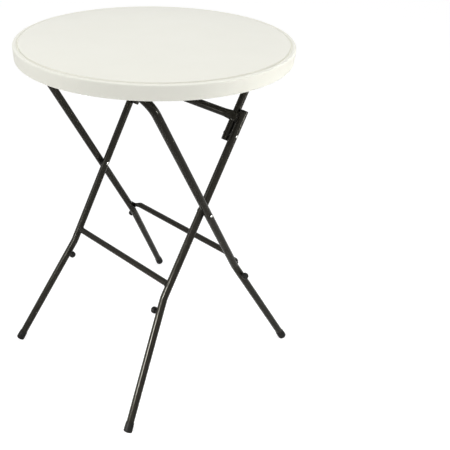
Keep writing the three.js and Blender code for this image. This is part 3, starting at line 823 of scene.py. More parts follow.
@dataclass
class Assembly:
    """What the table's sub-assemblies share."""

    shop: PaintShop
    linkage: Linkage
    stock: LegStock
    brace: BraceStock
    bar_places: tuple[tuple[str, float, float], ...] = (
        ("crossbar_frame_side", -247.2545, 273.2),
        ("crossbar_brace_side", 173.2545, 327.3),
    )
    bar_width: float = 20.0
    rail_y: float = 174.2
    rail_width: float = 24.0

    @property
    def inner_knee(self) -> float:
        """How far the inner knees are below the brace bolts, along the leg."""
        return self.linkage.cross_to_brace + self.stock.knee_distance - self.linkage.cross_distance

    def cross_drill(self, tube: Piece, y: float, z: float) -> None:
        """Drills a bolt's hole through a tube that is in its frame's own axes."""
        drill(tube, self.stock.hole, self.stock.drill_length, shift(0.0, y, z) @ ALONG_Y)


# Top


@dataclass
class MouldedTop(Assembly):
    """The blow-moulded top: raised panel, deep rim with a fluted inside, pitted underside."""

    height: float = 1100.0
    radius: float = 400.0
    rim_depth: float = 43.0
    thickness: float = 20.0
    rim_width: float = 20.0
    wall_draft: float = 6.0
    side_draft: float = 1.5
    edge: float = 5.0
    lip: float = 4.0
    panel_inset: float = 15.0
    panel_step: float = 1.2
    field_inset: float = 65.0
    columns: int = 384
    flutes: int = 48
    flute_depth: float = 7.0
    flute_width: float = 36.0
    flute_reach: float = 17.0
    flute_sill: float = 4.8
    flute_head: float = 1.6
    flute_round: float = 2.2
    pit_along: float = 45.0
    pit_across: float = 60.0
    pit_length: float = 22.0
    pit_width: float = 11.0
    pit_depth: float = 15.0
    pit_margin: float = 2.0
    small_pit: Place = (11.0, 5.6, 6.0)
    small_rings: tuple[Point, ...] = ((350.0, 0.0), (364.0, 3.0))
    small_count: int = 60
    small_clearance: float = 20.0
    seam_x: float = -78.75
    seam_steps: int = 21
    seam_jog: float = 5.5
    seam_slope: float = 4.0
    seam_section: Point = (1.5, 1.9)
    rail_span: Point = (-345.0, 330.0)

    def outline(self) -> list[Point]:
        """The top's outline from the middle of its panel, round the rim, to the middle below.

        Returns:
            Radius and height of each ring, the height from the top's surface.
        """
        panel = self.radius - self.panel_inset
        rim = -self.panel_step
        inside = self.radius - self.rim_width
        foot = inside + self.wall_draft
        outside = self.radius - self.side_draft
        line = self.radius - self.field_inset
        below = -self.thickness
        lip_z = self.lip - self.rim_depth
        return [
            (60.0, 0.0), (200.0, 0.0), (panel - 3.0, 0.0),
            (panel - 2.0, -0.3), (panel - 1.2, -1.4), (panel - 0.8, -3.4), (panel - 0.2, -5.2),
            (panel + 1.4, -5.8), (panel + 3.2, -4.6), (panel + 5.0, rim - 0.5), (panel + 6.8, rim),
            *arc((self.radius - self.edge, rim - self.edge), self.edge, 84.0, 0.0, 7),
            (self.radius - 0.35, -16.0), (self.radius - 0.8, -27.0),
            *arc((outside - self.lip, lip_z), self.lip, 0.0, -90.0, 5),
            *arc((foot + self.lip, lip_z), self.lip, -90.0, -180.0, 5),
            (foot - 1.5, -35.2), (foot - 3.0, -31.5), (foot - 4.5, -27.7),
            *arc((inside - self.lip, below - self.lip), self.lip, 0.0, 90.0, 4),
            (line + 2.4, below), (line + 1.2, below + 0.3), (line, below + 1.0),
            (line - 1.2, below + 0.3), (line - 2.4, below), (200.0, below),
            (11.2, below), (10.4, below + 0.5), (9.2, below + 0.5), (8.4, below), (3.0, below),
        ]

    def flute_cutters(self) -> list[Piece]:
        """The cutters of the pockets between the ribs of the rim's inner wall.

        Returns:
            A cutter for each pocket, with an upright back.
        """
        back = self.radius - self.rim_width + self.flute_depth
        half = self.flute_width / 2.0
        low = (back - self.flute_reach, -half, self.flute_sill - self.rim_depth)
        pocket = block("pocket", low, (back, half, -self.thickness - self.flute_head))
        ease_edges(pocket, self.flute_round, 3)
        places = [turn(360.0 / self.flutes * i, "Z") for i in range(self.flutes)]
        cutters = [copy_to(pocket, "pocket_cut", place) for place in places]
        discard(pocket)
        return cutters

    def seam_cutter(self) -> Piece:
        """The mould's parting line across the underside, which steps round the ends of the pits.

        Returns:
            The cutter.
        """
        pitch = self.pit_across / 2.0
        jog = -self.seam_jog
        start = (self.seam_x - jog / 2.0, -pitch * self.seam_steps / 2.0, -self.thickness - 0.2)
        run = Run("seam", start, Y_WAY, Z_WAY, strap=self.seam_section)
        for i in range(self.seam_steps):
            run.straight(pitch - self.seam_slope)
            if i < self.seam_steps - 1:
                run.straight(self.seam_slope)
                bpy.ops.transform.translate(value=(jog * MM, 0.0, 0.0))
                jog = -jog
        return run.done()

    def near_crossbar(self, x: float, reach: float) -> bool:
        """Whether X is nearer to the middle of a crossbar than a reach."""
        return any(abs(x - bar) < reach for _, bar, _ in self.bar_places)

    def under_steel(self, x: float, y: float) -> bool:
        """Whether a pit at this place would lie under a rail or a crossbar.

        Args:
            x: The pit's X.
            y: The pit's Y.

        Returns:
            Whether it would.
        """
        start, end = self.rail_span
        beside = (self.rail_width + self.pit_width) / 2.0 + self.pit_margin
        along = (self.bar_width + self.pit_length) / 2.0 + self.pit_margin
        under_rail = abs(abs(y) - self.rail_y) < beside and start < x < end
        return under_rail or self.near_crossbar(x, along)

    def pit_places(self) -> list[Point]:
        """The staggered places of the pits in the flat field.

        Returns:
            X and Y of each.
        """
        reach = self.radius - self.field_inset - self.pit_length / 2.0 - self.pit_margin
        rows = int(reach / (self.pit_along / 2.0))
        columns = int(reach / (self.pit_across / 2.0))
        grid = [
            (row * self.pit_along / 2.0, column * self.pit_across / 2.0)
            for row in range(-rows, rows + 1)
            for column in range(-columns, columns + 1)
            if (row + column) % 2 == 0
        ]
        return [(x, y) for x, y in grid if math.hypot(x, y) < reach and not self.under_steel(x, y)]

    @staticmethod
    def pit_pattern(name: str, length: float, width: float, depth: float) -> Piece:
        """A cutter for one pit: a mouth with rounded corners and steep walls.

        Args:
            name: The cutter's name.
            length: The mouth's length.
            width: The mouth's width.
            depth: The pit's depth.

        Returns:
            The cutter, its mouth just below the origin's plane.
        """
        corner = math.sqrt(2.0)
        walls = [(1.02 * corner, -2.0), (0.98 * corner, 0.0), (0.72 * corner, depth)]
        stretch = Matrix.Diagonal((length / 2.0, width / 2.0, 1.0, 1.0))
        pit = settle(turned(name, walls, 4), stretch @ turn(45.0, "Z"))
        return ease_edges(pit, width * 0.16, 2, 60.0)

    def small_pit_places(self) -> list[Matrix]:
        """The places of the small pits, in rings between the field and the rim.

        Returns:
            A place for each, clear of the rails and crossbars.
        """
        places = [
            turn(start + 360.0 * i / self.small_count, "Z")
            @ shift(radius, 0.0, -self.thickness) @ turn(90.0, "Z")
            for radius, start in self.small_rings
            for i in range(self.small_count)
        ]
        clear = self.small_clearance
        spots = [(place, place.to_translation() / MM) for place in places]
        return [
            place for place, spot in spots
            if abs(abs(spot.y) - self.rail_y) >= clear and not self.near_crossbar(spot.x, clear)
        ]

    def pit_cutter(self) -> Piece:
        """All the pits and pockets as one cutter.

        Returns:
            The cutter.
        """
        large = self.pit_pattern("pit", self.pit_length, self.pit_width, self.pit_depth)
        small = self.pit_pattern("small_pit", *self.small_pit)
        places = [shift(x, y, -self.thickness) for x, y in self.pit_places()]
        copies = [copy_to(large, "pit_cut", place) for place in places]
        copies += self.flute_cutters()
        copies += [copy_to(small, "small_pit_cut", place) for place in self.small_pit_places()]
        discard(large)
        discard(small)
        pick_up(copies[0])
        for piece in copies:
            piece.select_set(True)
        bpy.ops.object.join()
        return copies[0]

    def build(self) -> None:
        """Makes and dresses the top."""
        piece = turned("top_shell", self.outline(), self.columns)
        combine(piece, self.seam_cutter())
        combine(piece, self.pit_cutter())
        settle(piece, shift(z=self.height))
        self.shop.dress(smooth(piece, 28.0), MOULDED_PLASTIC, Body.TOP, "table_top")


# Steel under the top


@dataclass
class UndersideSteel(Assembly):
    """Crossbars, rails, saddle clamps, brace brackets, pins, snap clip and the screws."""

    underside: float = MouldedTop.height - MouldedTop.thickness
    wall: float = 1.6
    channel_round: float = 2.0
    bar_height: float = 5.0
    bar_hole: float = 3.6
    bar_hole_inset: float = 24.0
    rail_from: float = -323.2545
    rail_to: float = 307.2545
    rail_bottom: float = 1067.6
    rail_hole: float = 4.0
    rail_holes: Place = (-130.0, 0.0, 130.0)
    clamp_reach: float = 33.5
    clamp_bend: float = 2.2
    clamp_screws: float = 26.5
    clamp_hole: float = 2.5
    strap: Point = (2.0, 18.0)
    ear_inner_y: float = 186.2
    ear_outer_y: float = 188.7
    ear_radius: float = 12.0
    bracket_sheet: float = 2.5
    bracket_span: Point = (-19.0, 64.0)
    bracket_half: float = 7.5
    pin_radius: float = 4.0
    pin_head: float = 6.0
    clip_start: Point = (-20.0, -11.0)
    clip_flare: Point = (6.0, 11.0)
    clip_arm: float = 9.2
    clip_waist: float = 12.0
    clip_corner: float = 3.0
    screw_length: float = 28.0
    screw_bite: float = 9.0
    screw_inset: float = 11.0
    screw_turn: float = 37.0
    bar_screw_inset: float = 10.0

    def channel(self, name: str, length: float, width: float, height: float) -> Piece:
        """A pressed channel along X, open upwards, its web on the origin's plane.

        Args:
            name: The piece's name.
            length: Its length.
            width: Its width.
            height: Its height.

        Returns:
            The channel.
        """
        half = width / 2.0
        bar = block(name, (-length / 2.0, -half, 0.0), (length / 2.0, half, height))
        open_mesh(bar, "EDGE")
        mesh = bmesh.from_edit_mesh(bar.data)
        for edge in mesh.edges:
            a, b = (vertex.co for vertex in edge.verts)
            edge.select_set(max(a.z, b.z) < 1e-6 and abs(a.x - b.x) > length * MM / 2.0)
        bmesh.update_edit_mesh(bar.data)
        bpy.ops.mesh.bevel(offset=self.channel_round * MM, segments=4, affect="EDGES")
        bpy.ops.object.mode_set(mode="OBJECT")
        inner = half - self.wall
        trough = block("trough", (-length, -inner, self.wall), (length, inner, height + self.wall))
        return combine(bar, ease_edges(trough, 0.6, 2, 80.0))

    def build_crossbars(self) -> None:
        """Makes the two crossbars that stiffen the top."""
        seat = self.underside - self.stock.gap - self.bar_height
        for node, x, half in self.bar_places:
            name = node.replace("crossbar", "stiffening_bar")
            bar = self.channel(name, 2.0 * half, self.bar_width, self.bar_height)
            for side in Side:
                drill(bar, self.bar_hole, 10.0, shift(side.value * (half - self.bar_hole_inset)))
            settle(ease_edges(bar, 0.25, 1, 60.0), shift(x, 0.0, seat) @ turn(90.0, "Z"))
            self.shop.dress(smooth(bar), COATED_STEEL, Body.TOP, node)

    def build_rails(self) -> None:
        """Makes the two rails, notched where they cross the crossbars."""
        height = self.underside - self.stock.gap - self.rail_bottom
        rail = self.channel("rail", self.rail_to - self.rail_from, self.rail_width, height)
        middle = (self.rail_to + self.rail_from) / 2.0
        low = height - self.bar_height - self.stock.gap
        half = self.bar_width / 2.0 + self.stock.gap
        for _, bar_x, _ in self.bar_places:
            x = bar_x - middle
            combine(rail, block("notch", (x - half, -20.0, low), (x + half, 20.0, height + 5.0)))
        for x in self.rail_holes:
            drill(rail, self.rail_hole, 8.0, shift(x))
        smooth(ease_edges(rail, 0.25, 1, 60.0))
        self.shop.pair(
            lambda side: shift(middle, side.value * self.rail_y, self.rail_bottom), Body.TOP,
            (rail, AS_IT_IS, "side_rail", COATED_STEEL, "rail"),
        )

    def build_clamps(self) -> None:
        """Makes the straps that hold the outer frame's top tube."""
        half = self.strap[0] / 2.0
        grip = self.stock.radius + self.stock.gap + half
        rise = self.rail_bottom - self.stock.gap - half - self.linkage.hinge_height
        flange = self.clamp_reach - grip - self.clamp_bend
        run = Run("clamp", (-self.clamp_reach, 0.0, rise), X_WAY, Y_WAY, strap=self.strap)
        run.straight(flange).bend(-Z_WAY, self.clamp_bend, 90.0, 4).straight(rise - self.clamp_bend)
        run.bend(X_WAY, grip, 180.0, 20).straight(rise - self.clamp_bend)
        clamp = run.bend(X_WAY, self.clamp_bend, 90.0, 4).straight(flange).done()
        for x in (-self.clamp_screws, self.clamp_screws):
            drill(clamp, self.clamp_hole, 10.0, shift(x, 0.0, rise))
        smooth(ease_edges(clamp, 0.4, 2, 60.0))
        hinge = shift(self.linkage.frame_hinge_x, 0.0, self.linkage.hinge_height)
        self.shop.pair(
            lambda side: hinge @ shift(y=side.value * self.rail_y), Body.TOP,
            (clamp, AS_IT_IS, "tube_clamp", COATED_STEEL, "saddle_clamp"),
        )

    def build_brackets(self) -> None:
        """Makes the brackets whose ears carry the braces, with their headed pins."""
        ear_y, gap, radius = self.ear_inner_y, self.stock.gap, self.ear_radius
        top = self.rail_bottom - gap - self.linkage.hinge_height
        start, end = self.bracket_span
        low = (start, self.rail_y - self.bracket_half, top - self.bracket_sheet)
        foot = block("bracket", low, (end, self.ear_outer_y, top))
        ear = turned("ear", [(radius, 0.0), (radius, self.bracket_sheet)], 48)
        settle(ear, shift(y=ear_y) @ ALONG_Y)
        neck = block("neck", (-radius, ear_y, 0.0), (radius, self.ear_outer_y, top - 1.0))
        combine(ear, neck, Joining.FUSE)
        combine(foot, ear, Joining.FUSE)
        drill(foot, self.stock.hole, 12.0, shift(y=ear_y) @ ALONG_Y)
        smooth(ease_edges(foot, 0.5, 2, 50.0))
        pin, head = self.pin_radius, self.pin_head
        inner = ear_y - gap
        outer = self.brace.y + self.brace.radius + gap
        shank = [*dome(inner, -4.5, head), (pin, inner), (pin, outer - 0.2)]
        button = [(pin, outer - 0.2), (pin, outer), *reversed(dome(outer, 1.0, head))]
        rivet = smooth(turned("pin", shank, 28))
        tail = smooth(turned("tail", button, 28))
        hinge = shift(self.linkage.brace_hinge_x, 0.0, self.linkage.hinge_height)
        self.shop.pair(
            lambda side: hinge @ mirrored(side), Body.TOP,
            (foot, AS_IT_IS, "brace_carrier", COATED_STEEL, "brace_bracket"),
            (rivet, ALONG_Y, "hinge_rivet", ZINC_PLATE, "brace_pin"),
            (tail, ALONG_Y, "hinge_rivet_tail", WELD_COAT, "brace_pin"),
        )

    def build_clip(self) -> None:
        """Makes the spring clip that grips the inner frame's top bar when folded."""
        corner, (x, z), (out, up) = self.clip_corner, self.clip_start, self.clip_flare
        top_z = self.rail_bottom - self.stock.gap - self.linkage.folded_bar_z - self.strap[0] / 2.0
        flare = Vector((out, 0.0, up)).normalized()
        lean = math.degrees(math.atan2(out, up))
        run = Run("clip", (x, 0.0, z), flare, Y_WAY, strap=self.strap)
        run.straight(self.clip_arm).bend(flare.cross(Y_WAY), self.clip_waist, lean, 5)
        rise = top_z - corner - run.at.z / MM
        width = -2.0 * run.at.x / MM
        run.straight(rise).bend(X_WAY, corner, 90.0, 5).straight(width - 2.0 * corner)
        run.bend(-Z_WAY, corner, 90.0, 5).straight(rise)
        clip = run.bend(X_WAY, self.clip_waist, lean, 5).straight(self.clip_arm).done()
        smooth(ease_edges(clip, 0.4, 2, 60.0))
        settle(clip, shift(self.linkage.folded_bar_x, -self.rail_y, self.linkage.folded_bar_z))
        self.shop.dress(name_piece(clip, "spring_clip"), ZINC_PLATE, Body.TOP, "snap_clip")

    def screw_pattern(self) -> Piece:
        """A pan-head screw with a crossed recess, up +Z from its seat.

        Returns:
            The screw.
        """
        screw = turned("screw", [
            (2.2, self.screw_length), (2.2, -0.3), (5.0, -0.3), (5.0, -1.2), (4.6, -2.3),
            (3.7, -3.0), (2.2, -3.3), (0.8, -3.3),
        ], 28)
        for angle in (0.0, 90.0):
            slot = block("slot", (-2.1, -0.45, -4.0), (2.1, 0.45, -1.7))
            combine(screw, settle(slot, turn(angle, "Z")))
        return smooth(screw)

    def screw_seats(self) -> list[tuple[str, float, float, float]]:
        """Where the screws sit.

        Returns:
            Each screw's name and the X, Y and Z of its seat.
        """
        seats: list[tuple[str, float, float, float]] = []
        bar_z = self.underside - self.stock.gap - self.bar_height
        clamp_z = self.rail_bottom - self.stock.gap - self.strap[0]
        bracket_z = self.rail_bottom - self.stock.gap - self.bracket_sheet
        hinge_x = self.linkage.frame_hinge_x
        for side in Side:
            y = side.value * self.rail_y
            for name, x, half in self.bar_places:
                reach = half - self.bar_screw_inset
                seats.append((f"{name}_{side.word}", x, side.value * reach, bar_z))
            for name, x, z in (
                ("rail_end", self.rail_from + self.screw_inset, self.rail_bottom),
                ("clamp_a", hinge_x - self.clamp_screws, clamp_z),
                ("clamp_b", hinge_x + self.clamp_screws, clamp_z),
                ("bracket", self.rail_to - self.screw_inset, bracket_z),
            ):
                seats.append((f"{name}_{side.word}", x, y, z))
        return seats

    def build_screws(self) -> None:
        """Makes the screws that hold the steel to the top, each as long as its hole."""
        screw = self.screw_pattern()
        full = self.screw_length
        for index, (name, x, y, z) in enumerate(self.screw_seats()):
            share = min(1.0, (self.underside + self.screw_bite - z) / full)
            place = shift(x, y, z) @ turn(self.screw_turn * index, "Z")
            piece = copy_to(screw, f"pan_screw_{name}", place)
            open_mesh(piece)
            select_points(piece, lambda point, z=z: point.z > (z + 20.0) * MM)
            bpy.ops.transform.translate(value=(0.0, 0.0, (share - 1.0) * full * MM))
            bpy.ops.object.mode_set(mode="OBJECT")
            self.shop.dress(piece, ZINC_PLATE, Body.TOP, f"screw_{name}")
        discard(screw)

    def build(self) -> None:
        """Makes and dresses all the steel under the top."""
        self.build_crossbars()
        self.build_rails()
        self.build_clamps()
        self.build_brackets()
        self.build_clip()
        self.build_screws()


# Frames


@dataclass
class CrossTube:
    """A cross tube along Y whose ends are pressed into flat tabs against the legs."""

    radius: float
    offset: float
    half_length: float
    leg_radius: float = LegStock.radius
    leg_face: float = LegStock.radius + LegStock.gap
    tab_thickness: float = 4.5
    tab_overhang: float = 7.0
    tab_spread: float = 1.227
    tab_unpressed: float = 1.42
    squash: float = 22.0
    squash_rings: int = 8
    weld_sink: float = 0.8
    weld_seat: float = 0.4
    weld_half: float = 7.5

    @property
    def facing(self) -> float:
        """The side of the legs that the tube lies on, by the sign of X."""
        return math.copysign(1.0, self.offset)

    @property
    def tab_x(self) -> float:
        """The middle of the tab's thickness."""
        return self.facing * (self.leg_face + self.tab_thickness / 2.0)

    @property
    def squash_end(self) -> float:
        """Where the tab starts, from the middle."""
        return self.half_length - self.tab_overhang - self.leg_radius

    def rings(self) -> list[Place]:
        """The rings from one end to the other.

        Returns:
            Each ring's Y, how far it is pressed flat and its share of the full width.
        """
        rounded_end = ((0.0, 0.62), (0.6, 0.79), (1.8, 0.92), (3.6, 0.98), (6.0, 1.0))
        rings = [(self.half_length - inwards, 1.0, wide) for inwards, wide in rounded_end]
        for i in range(self.squash_rings + 1):
            share = i / self.squash_rings
            eased = share * share * (3.0 - 2.0 * share)
            rings.append((self.squash_end - self.squash * share, 1.0 - eased, 1.0))
        return rings + [(-y, flat, wide) for y, flat, wide in reversed(rings)]

    def build(self, name: str) -> Piece:
        """Draws the tube from one tab to the other.

        Args:
            name: The piece's name.

        Returns:
            The tube in its frame's axes.
        """
        tab_thin = self.tab_thickness * self.tab_unpressed / 2.0 / self.radius
        x_scale, z_scale, x_place, y_place = 1.0, 1.0, 0.0, self.half_length
        run = Run(name, (0.0, y_place, 0.0), -Y_WAY, Z_WAY, self.radius)
        for index, (y, flat, wide) in enumerate(self.rings()):
            thin = 1.0 + (tab_thin - 1.0) * flat
            broad = (1.0 + (self.tab_spread - 1.0) * flat) * wide
            x = self.offset + (self.tab_x - self.offset) * flat
            if index:
                run.straight(y_place - y)
            bpy.ops.transform.translate(value=((x - x_place) * MM, 0.0, 0.0))
            bpy.ops.transform.resize(
                value=(thin / x_scale, 1.0, broad / z_scale),
                center_override=(x * MM, y * MM, 0.0),
            )
            x_scale, z_scale, x_place, y_place = thin, broad, x, y
        tube = run.done()
        self.flatten(tube)
        return smooth(ease_edges(tube, 0.5, 2, 50.0), 40.0)

    def flatten(self, tube: Piece) -> None:
        """Presses both faces of each tab flat.

        Args:
            tube: The tube.
        """
        tab_from = (self.squash_end - 4.0) * MM
        open_mesh(tube)
        for way in (1.0, -1.0):
            face = self.tab_x + way * self.tab_thickness / 2.0
            if select_points(
                tube,
                lambda point, way=way, face=face: abs(point.y) > tab_from
                and way * (point.x / MM - face) > 0.0,
            ):
                middle = (face * MM, 0.0, 0.0)
                bpy.ops.transform.resize(value=(0.0, 1.0, 1.0), center_override=middle)
        bpy.ops.object.mode_set(mode="OBJECT")

    def weld_places(self) -> list[Matrix]:
        """Where beads run on the legs: along the tabs' edges, or across ends that stop short.

        Returns:
            A place for each bead, which is drawn along Y.
        """
        if self.tab_overhang < 0.0:
            x = self.facing * (self.leg_face - self.weld_sink)
            y, z, lay = self.half_length + self.weld_seat, self.weld_half, turn(90.0, "X")
        else:
            x, y = self.facing * self.leg_radius, self.half_length - self.tab_overhang
            z, lay = self.radius * self.tab_spread + self.weld_seat, AS_IT_IS
        return [shift(x, end * y, edge * z) @ lay for end in (1.0, -1.0) for edge in (1.0, -1.0)]

    def build_welds(self, shop: PaintShop, name: str, place: Matrix, body: Body) -> None:
        """Makes the short rippled beads that hold the tube.

        Args:
            shop: The paint shop.
            name: The beads' name, before their number.
            place: The tube's place.
            body: The body that they ride on.
        """
        ripples = [(2.0 if i % 2 else 1.75, i - 7.0) for i in range(14)]
        outline = [(0.5, -8.5), (1.5, -7.8), *ripples, (1.5, 7.8), (0.5, 8.5)]
        for index, spot in enumerate(self.weld_places()):
            bead = settle(turned(f"{name}_{index}", outline, 14), ALONG_Y)
            shop.dress(settle(smooth(bead, 60.0), place @ spot), WELD_COAT, body)


@dataclass
class OuterFrame(Assembly):
    """The U-shaped outer frame with its spreader and the outer halves of the crossing pivot."""

    corner_radius: float = 66.0
    corner_steps: int = 18
    spreader_radius: float = 10.0
    spreader_rise: float = 20.0
    spreader_overhang: float = 7.0
    bolt_radius: float = 4.0

    def build_tube(self) -> None:
        """Bends the U from the right socket, over the top run, to the left socket."""
        stock, corner, steps = self.stock, self.corner_radius, self.corner_steps
        knee_z = -stock.knee_distance
        side_run = stock.knee_distance - stock.knee_share - corner
        run = stock.socket_run("outer_tube", stock.outer_y, knee_z, Side.RIGHT).straight(side_run)
        run.bend(Y_WAY, corner, 90.0, steps).straight(2.0 * (stock.outer_y - corner))
        run.bend(-Z_WAY, corner, 90.0, steps).straight(side_run)
        run.bend(Y_WAY, stock.knee_radius, stock.splay, stock.knee_steps)
        run.straight(stock.stub - stock.knee_share - stock.rim)
        run.ring(stock.radius - stock.rim, stock.rim).ring(stock.bore + stock.mouth_flare, 0.0)
        run.back().ring(stock.bore, stock.mouth_depth)
        tube = run.straight(stock.socket - stock.mouth_depth).done()
        for side in Side:
            self.cross_drill(tube, side.value * stock.outer_y, -self.linkage.cross_distance)
        settle(smooth(tube), self.linkage.outer_place())
        self.shop.dress(tube, COATED_STEEL, Body.OUTER, "outer_frame_tube")

    def build_spreader(self) -> None:
        """Makes the spreader across the front of the frame and the beads that hold it."""
        stock = self.stock
        offset = stock.radius + stock.gap + self.spreader_radius
        spreader = CrossTube(self.spreader_radius, offset, stock.outer_y + self.spreader_overhang)
        place = self.linkage.outer_place() @ shift(z=self.spreader_rise - stock.knee_distance)
        tube = settle(spreader.build("outer_cross_tube"), place)
        self.shop.dress(tube, COATED_STEEL, Body.OUTER, "outer_spreader")
        spreader.build_welds(self.shop, "outer_weld", place, Body.OUTER)

    def build_bolts(self) -> None:
        """Makes the domed bolts of the crossing pivot, headed on the outside."""
        stock, radius = self.stock, self.bolt_radius
        seat = stock.outer_y + stock.radius + stock.gap
        inner = stock.outer_y - stock.radius + stock.gap
        head = reversed(dome(seat + 1.2, 2.8, radius + 0.6))
        bolt = turned("bolt", [(radius, inner), (radius, seat + 1.2), *head], 32)
        combine(bolt, turned("socket", [(2.0, seat + 2.4), (2.0, seat + 6.0)], 6))
        washer = turned("washer", [
            (radius + 0.1, seat), (6.0, seat), (6.0, seat + 0.8), (5.7, seat + 1.1),
            (radius + 0.1, seat + 1.1),
        ], 32)
        pivot = self.linkage.outer_place() @ shift(z=-self.linkage.cross_distance)
        self.shop.pair(
            lambda side: pivot @ mirrored(side), Body.OUTER,
            (smooth(bolt), ALONG_Y, "crossing_bolt", ZINC_PLATE, "cross_bolt"),
            (smooth(washer), ALONG_Y, "crossing_washer", WELD_COAT, "cross_bolt"),
        )

    def build(self) -> None:
        """Makes and dresses the outer frame."""
        self.build_tube()
        self.build_spreader()
        self.build_bolts()


def plug_cap(name: str, radius: float, spigot: float) -> Piece:
    """A push-in end cap on the origin's plane: a spigot below it and a crowned flange above."""
    outline = [
        (spigot - 0.8, -12.0), (spigot, -11.0), (spigot, 0.3), (radius, 0.3), (radius, 0.9),
        *arc((radius - 2.2, 1.0), 2.2, 8.0, 78.0, 5), (radius * 0.55, 3.4), (radius * 0.2, 3.5),
    ]
    return smooth(turned(name, outline, 36), 40.0)


@dataclass
class InnerFrame(Assembly):
    """The two inner legs, their top bar and spreader, and the bolts through them."""

    leg_top: float = 75.0
    leg_hollow: float = 14.5
    bar_rise: float = 53.0
    bar_radius: float = 12.2
    bar_short: float = 7.0
    bar_spread: float = 1.27
    bar_squash: float = 40.0
    spreader_rise: float = 45.0
    spreader_radius: float = 10.0
    spreader_cope: float = 6.5
    bolt_radius: float = 4.0
    spacer_radius: float = 8.5

    def build_legs(self) -> None:
        """Makes the two legs with a socket below and a plugged end above."""
        stock, knee = self.stock, self.inner_knee
        for side in Side:
            run = stock.socket_run(f"inner_tube_{side.word}", stock.inner_y, -knee, side)
            run.straight(self.leg_top + knee - stock.knee_share - stock.rim)
            run.ring(stock.radius - stock.rim, stock.rim).ring(stock.bore, 0.0)
            leg = run.back().straight(self.leg_hollow).done()
            y = side.value * stock.inner_y
            for z in (0.0, -self.linkage.cross_to_brace):
                self.cross_drill(leg, y, z)
            settle(smooth(leg), self.linkage.inner_place())
            self.shop.dress(leg, COATED_STEEL, Body.INNER, f"inner_leg_{side.word}")
            cap = plug_cap(f"leg_end_cap_{side.word}", stock.radius, stock.bore - stock.gap)
            settle(cap, self.linkage.inner_place() @ shift(0.0, y, self.leg_top))
            self.shop.dress(cap, BLACK_PLASTIC, Body.INNER, f"leg_plug_{side.word}")

    def build_top_bar(self) -> None:
        """Makes the top bar on which the braces rest, with its beads."""
        bar = CrossTube(
            self.bar_radius, -self.brace.radius - self.bar_radius - self.stock.gap,
            self.stock.inner_y - self.bar_short, tab_overhang=-self.bar_short,
            tab_spread=self.bar_spread, squash=self.bar_squash,
        )
        place = self.linkage.inner_place() @ shift(z=self.bar_rise)
        tube = settle(bar.build("lock_bar"), place)
        self.shop.dress(tube, COATED_STEEL, Body.INNER, "inner_top_bar")
        bar.build_welds(self.shop, "inner_weld", place, Body.INNER)

    def build_spreader(self) -> None:
        """Makes the spreader that is coped to the legs, with a bead round each end."""
        radius, reach = self.spreader_radius, self.stock.inner_y - self.spreader_cope
        spreader = turned("inner_cross_tube", [(radius, -reach), (radius, reach)], 40)
        place = self.linkage.inner_place() @ shift(z=self.spreader_rise - self.inner_knee)
        settle(smooth(spreader), place @ ALONG_Y)
        self.shop.dress(spreader, COATED_STEEL, Body.INNER, "inner_spreader")
        weld_radius = radius + 0.4
        for side in Side:
            y = side.value * (self.stock.inner_y - self.stock.radius + 0.8)
            name = f"spreader_weld_{side.word}"
            ring = Run(name, (weld_radius, y, 0.0), Z_WAY, Y_WAY, 1.7, 12)
            bead = ring.bend(-X_WAY, weld_radius, 360.0, 40).done()
            self.shop.dress(settle(smooth(bead, 60.0), place), WELD_COAT, Body.INNER)

    def spacer(self, name: str, start: float, end: float) -> Piece:
        """A plastic spacer between two tubes, hollow for its bolt.

        Args:
            name: The piece's name.
            start: Its near face.
            end: Its far face.

        Returns:
            The spacer along +Z.
        """
        out = self.spacer_radius
        outline = [(out - 0.4, start), (out, start + 0.3), (out, end - 0.3), (out - 0.4, end)]
        piece = turned(name, outline, 32)
        drill(piece, self.bolt_radius + 0.15, end - start + 8.0, shift(z=(start + end) / 2.0))
        return piece

    def build_bolts(self) -> None:
        """Makes the nuts of the crossing pivot and the bolts that hold the braces."""
        stock, brace, radius = self.stock, self.brace, self.bolt_radius
        face = stock.inner_y - stock.radius - stock.gap
        outside = stock.inner_y + stock.radius + stock.gap
        far = stock.outer_y - stock.radius - stock.gap
        inner = brace.y - brace.radius - stock.gap
        outer = brace.y + brace.radius + stock.gap
        head = reversed(dome(outside, 1.0, 5.0))
        nut = turned("nut", [*dome(face, -1.0, 6.0), (radius, face), (radius, far)], 32)
        joint = turned("brace_joint", [(radius, inner), (radius, outside), *head], 32)
        tail = turned("rivet_tail", [*dome(inner, -1.2, 5.2), (radius + 0.1, inner)], 32)
        spacer = self.spacer("crossing_spacer", outside, far)
        collar = self.spacer("brace_spacer", outer, face)
        bolts = self.linkage.inner_place()
        cross = bolts @ shift(z=-self.linkage.cross_to_brace)
        for pattern, place, name, finish, node in (
            (nut, cross, "crossing_nut", ZINC_PLATE, "cross_nut"),
            (spacer, cross, "crossing_spacer", BLACK_PLASTIC, "cross_nut"),
            (joint, bolts, "brace_joint", ZINC_PLATE, "brace_bolt"),
            (collar, bolts, "brace_spacer", BLACK_PLASTIC, "brace_bolt"),
            (tail, bolts, "brace_joint_tail", WELD_COAT, "brace_bolt"),
        ):
            self.shop.pair(
                lambda side, place=place: place @ mirrored(side), Body.INNER,
                (smooth(pattern), ALONG_Y, name, finish, node),
            )

    def build(self) -> None:
        """Makes and dresses the inner frame."""
        self.build_legs()
        self.build_top_bar()
        self.build_spreader()
        self.build_bolts()


